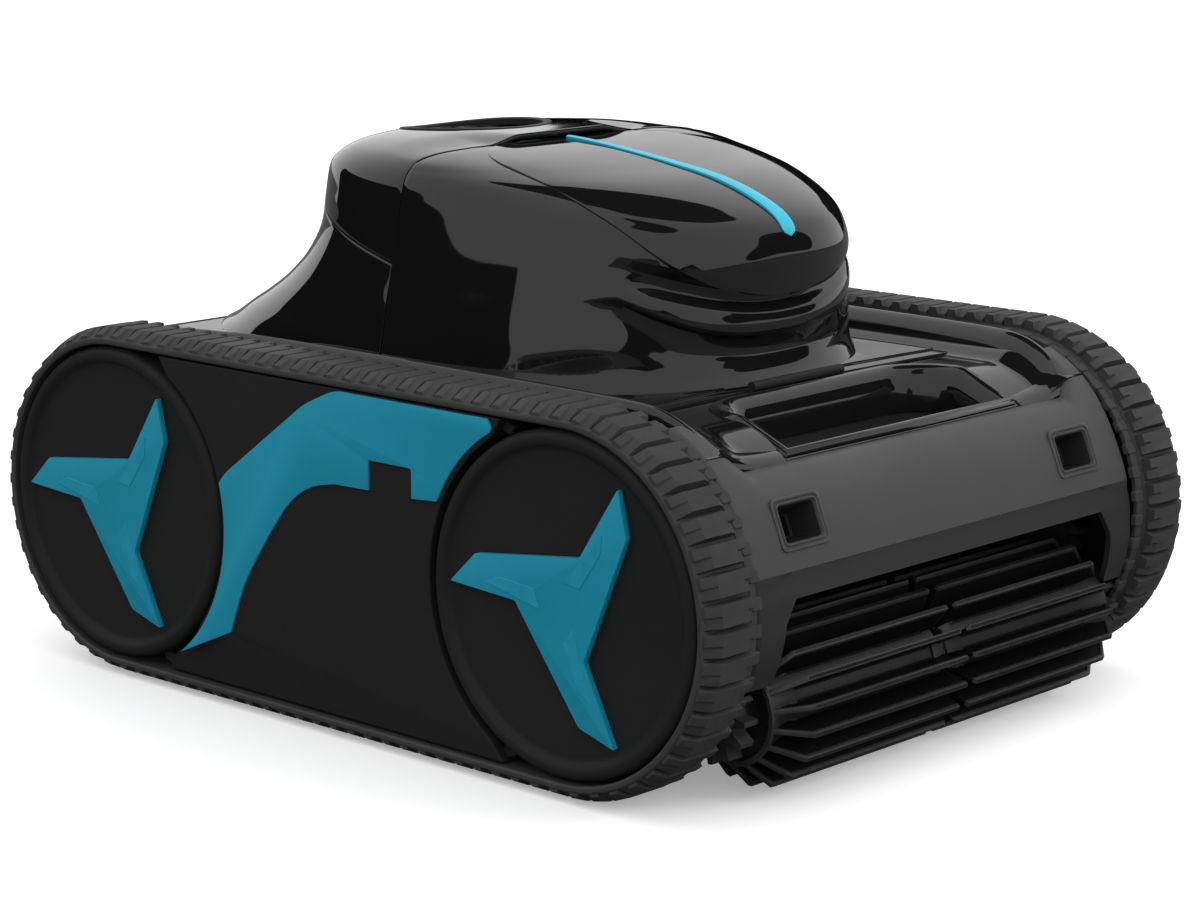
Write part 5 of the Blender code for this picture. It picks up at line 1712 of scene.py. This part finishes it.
@dataclass
class Works:
    """The CAD nodes whose shape is right: shafts, gears, pump, filter and electrics."""

    shop: Workshop

    def build(self) -> None:
        """Give each remaining CAD node its finish."""
        by_slot = {"rubber": Finishes.rubber, "matte_black": Finishes.matte, "gloss_black": Finishes.gloss,
                   "satin_grey": Finishes.satin, "teal": Finishes.teal, "cyan": Finishes.cyan,
                   "gear": Finishes.gear,
                   "steel": Finishes.steel, "battery": Finishes.battery, "board": Finishes.board,
                   "mesh": Finishes.mesh}
        for part in frame["record"]["subparts"]:
            hidden_pin = part["node"] == "lid_hinge_pin"
            self.shop.dress(part["node"], Finishes.matte if hidden_pin else by_slot[part["material_slot"]])


# ---- studio -----------------------------------------------------------------------
class Flag(Enum):
    """Dark flags of the studio: azimuth from +Y towards +X, height, reach and top edge, in degrees."""

    LEFT_WALL = (-42, 0, 46, 14)
    FAR_WALL = (63, 0, 15, 17)
    OVERHEAD = (64, 58, 15, 90)
    ZENITH = (-165, 78, 8, 90)
    FRONT_FAR = (135, 12, 15, 30)
    FRONT_NEAR = (-171, -4, 9, 90)


@dataclass
class Studio:
    """Pale floor, soft light and the camera."""

    eye: Spot = (-1.0515, -0.9709, 0.3929)
    yaw: float = 47.518
    pitch: float = 11.644
    roll: float = 0.18
    lens: float = 96.64
    floor_half: float = 14.0
    floor_glow: float = 0.30
    soft_light: float = 1.2
    mirror_light: float = 1.0

    def camera(self) -> None:
        """Place the camera and make it the scene's."""
        data = bpy.data.cameras.new("camera")
        data.lens = self.lens
        data.sensor_width = 36.0
        data.clip_end = 60.0
        camera = bpy.data.objects.new("camera", data)
        bpy.context.scene.collection.objects.link(camera)
        yaw, pitch = radians(self.yaw), radians(self.pitch)
        forward = Vector((sin(yaw) * cos(pitch), cos(yaw) * cos(pitch), -sin(pitch)))
        turn = forward.to_track_quat("-Z", "Y").to_matrix().to_4x4()
        camera.matrix_world = (Matrix.Translation(self.eye) @ turn @ Matrix.Rotation(radians(self.roll), 4,
                                                                                     "Z"))
        bpy.context.scene.camera = camera

    def floor(self) -> None:
        """Lay the pale floor."""
        Bench.clear()
        bpy.ops.mesh.primitive_grid_add(x_subdivisions=4, y_subdivisions=4, size=2 * self.floor_half)
        floor = Bench.fresh("floor")
        floor.location.z = -0.0004
        made = bpy.data.materials.new("pale_floor")
        made.use_nodes = True
        tree = made.node_tree
        seen = tree.nodes["Principled BSDF"]
        place = tree.nodes.new("ShaderNodeTexCoord").outputs["Object"]
        tone = Paintbox.noise(tree, place, 3.0, 3.0)
        tree.links.new(Paintbox.blend(tree, tone, (0.86, 0.86, 0.86), (0.84, 0.84, 0.84)),
                       seen.inputs["Base Color"])
        seen.inputs["Roughness"].default_value = 0.7
        seen.inputs["Specular IOR Level"].default_value = 0.1
        seen.inputs["Emission Color"].default_value = (1.0, 1.0, 1.0, 1.0)
        seen.inputs["Emission Strength"].default_value = self.floor_glow
        dark = tree.nodes.new("ShaderNodeBsdfDiffuse")
        dark.inputs["Color"].default_value = (0.16, 0.16, 0.16, 1.0)
        self.only_for(tree, "Is Camera Ray", dark.outputs[0], seen.outputs[0], tree.nodes["Material Output"])
        floor.data.materials.append(made)

    @staticmethod
    def only_for(tree: Tree, rays: str, other: Socket, wanted: Socket,
                 output: bpy.types.Node | None = None) -> Socket:
        """Show one shader to one kind of ray and the other to the rest.

        Args:
            tree: The material's or world's tree.
            rays: The Light Path output that names the rays.
            other: The shader socket for the rest.
            wanted: The shader socket for these rays.
            output: The output node to feed, if any.

        Returns:
            The mixed shader's socket.
        """
        path = tree.nodes.new("ShaderNodeLightPath")
        blend = tree.nodes.new("ShaderNodeMixShader")
        tree.links.new(path.outputs[rays], blend.inputs[0])
        tree.links.new(other, blend.inputs[1])
        tree.links.new(wanted, blend.inputs[2])
        if output:
            tree.links.new(blend.outputs[0], output.inputs["Surface"])
        return blend.outputs[0]

    @staticmethod
    def flags(tree: Tree, way: Socket) -> Socket:
        """Lay out the dark flags that hang round the machine, with ragged cloth edges.

        Args:
            tree: The world's tree.
            way: The socket of the direction looked in.

        Returns:
            The socket that is 1 on a flag and 0 beside it.
        """
        rag = tree.nodes.new("ShaderNodeTexNoise")
        rag.inputs["Scale"].default_value = 2.6
        rag.inputs["Detail"].default_value = 0.0
        tree.links.new(way, rag.inputs["Vector"])
        shift = tree.nodes.new("ShaderNodeVectorMath")
        shift.operation = "MULTIPLY_ADD"
        shift.inputs[1].default_value = (0.16, 0.16, 0.10)
        tree.links.new(rag.outputs["Color"], shift.inputs[0])
        tree.links.new(way, shift.inputs[2])
        bent = tree.nodes.new("ShaderNodeVectorMath")
        bent.operation = "SUBTRACT"
        bent.inputs[1].default_value = (0.08, 0.08, 0.05)
        tree.links.new(shift.outputs[0], bent.inputs[0])
        level = tree.nodes.new("ShaderNodeSeparateXYZ")
        tree.links.new(bent.outputs[0], level.inputs[0])
        total = None
        for flag in Flag:
            azimuth, height, reach, top = (radians(angle) for angle in flag.value)
            dot = tree.nodes.new("ShaderNodeVectorMath")
            dot.operation = "DOT_PRODUCT"
            dot.inputs[1].default_value = (sin(azimuth) * cos(height), cos(azimuth) * cos(height),
                                           sin(height))
            tree.links.new(bent.outputs[0], dot.inputs[0])
            inside = Paintbox.maths(tree, "GREATER_THAN", dot.outputs["Value"], cos(reach))
            below = Paintbox.maths(tree, "LESS_THAN", level.outputs["Z"], sin(top) if top < pi / 2 else 2.0)
            patch = Paintbox.maths(tree, "MULTIPLY", inside, below)
            total = patch if total is None else Paintbox.maths(tree, "MAXIMUM", total, patch)
        return total

    def world(self) -> None:
        """Fill the room with soft light, with dark flags that the gloss shell mirrors."""
        world = bpy.data.worlds.new("studio")
        bpy.context.scene.world = world
        world.use_nodes = True
        tree = world.node_tree
        soft = tree.nodes["Background"]
        soft.inputs["Color"].default_value = (1.0, 1.0, 1.0, 1.0)
        soft.inputs["Strength"].default_value = self.soft_light
        backdrop = tree.nodes.new("ShaderNodeBackground")
        backdrop.inputs["Color"].default_value = (1.0, 1.0, 1.0, 1.0)
        mirror = tree.nodes.new("ShaderNodeBackground")
        mirror.inputs["Strength"].default_value = self.mirror_light
        flags = self.flags(tree, tree.nodes.new("ShaderNodeTexCoord").outputs["Generated"])
        tree.links.new(Paintbox.blend(tree, flags, (1.0, 1.0, 1.0), (0.0, 0.0, 0.0)), mirror.inputs["Color"])
        room = self.only_for(tree, "Is Glossy Ray", soft.outputs[0], mirror.outputs[0])
        self.only_for(tree, "Is Camera Ray", room, backdrop.outputs[0], tree.nodes["World Output"])

    def softbox(self, name: str, spot: Spot, aim: Spot, size: Flat, power: float) -> None:
        """Hang one rectangular softbox.

        Args:
            name: The light's name.
            spot: Where it hangs, in metres.
            aim: What it points at.
            size: Its width and height.
            power: Its power in watts.
        """
        data = bpy.data.lights.new(name, "AREA")
        data.shape = "RECTANGLE"
        data.size, data.size_y = size
        data.energy = power
        light = bpy.data.objects.new(name, data)
        bpy.context.scene.collection.objects.link(light)
        way = Vector(aim) - Vector(spot)
        light.visible_glossy = False
        light.matrix_world = Matrix.Translation(spot) @ way.to_track_quat("-Z", "Y").to_matrix().to_4x4()

    def build(self) -> None:
        """Set up the whole studio."""
        self.camera()
        self.floor()
        self.world()
        self.softbox("key_light", (1.2, -2.6, 1.6), (0.0, -0.1, 0.1), (1.4, 1.0), 26.0)
        bpy.context.scene.view_settings.view_transform = "Standard"


def main() -> None:
    """Build every part of the machine, then the studio round it."""
    logging.basicConfig(level=logging.INFO, format="%(name)s: %(message)s")
    shop = Workshop(Paintbox())
    Works(shop).build()
    for assembly in (Track(shop), Wheel(shop), SidePanel(shop), Brush(shop), Hood(shop), Deck(shop),
                     Nose(shop),
                     Tail(shop)):
        assembly.build()
    Studio().build()


if __name__ == "__main__":
    main()
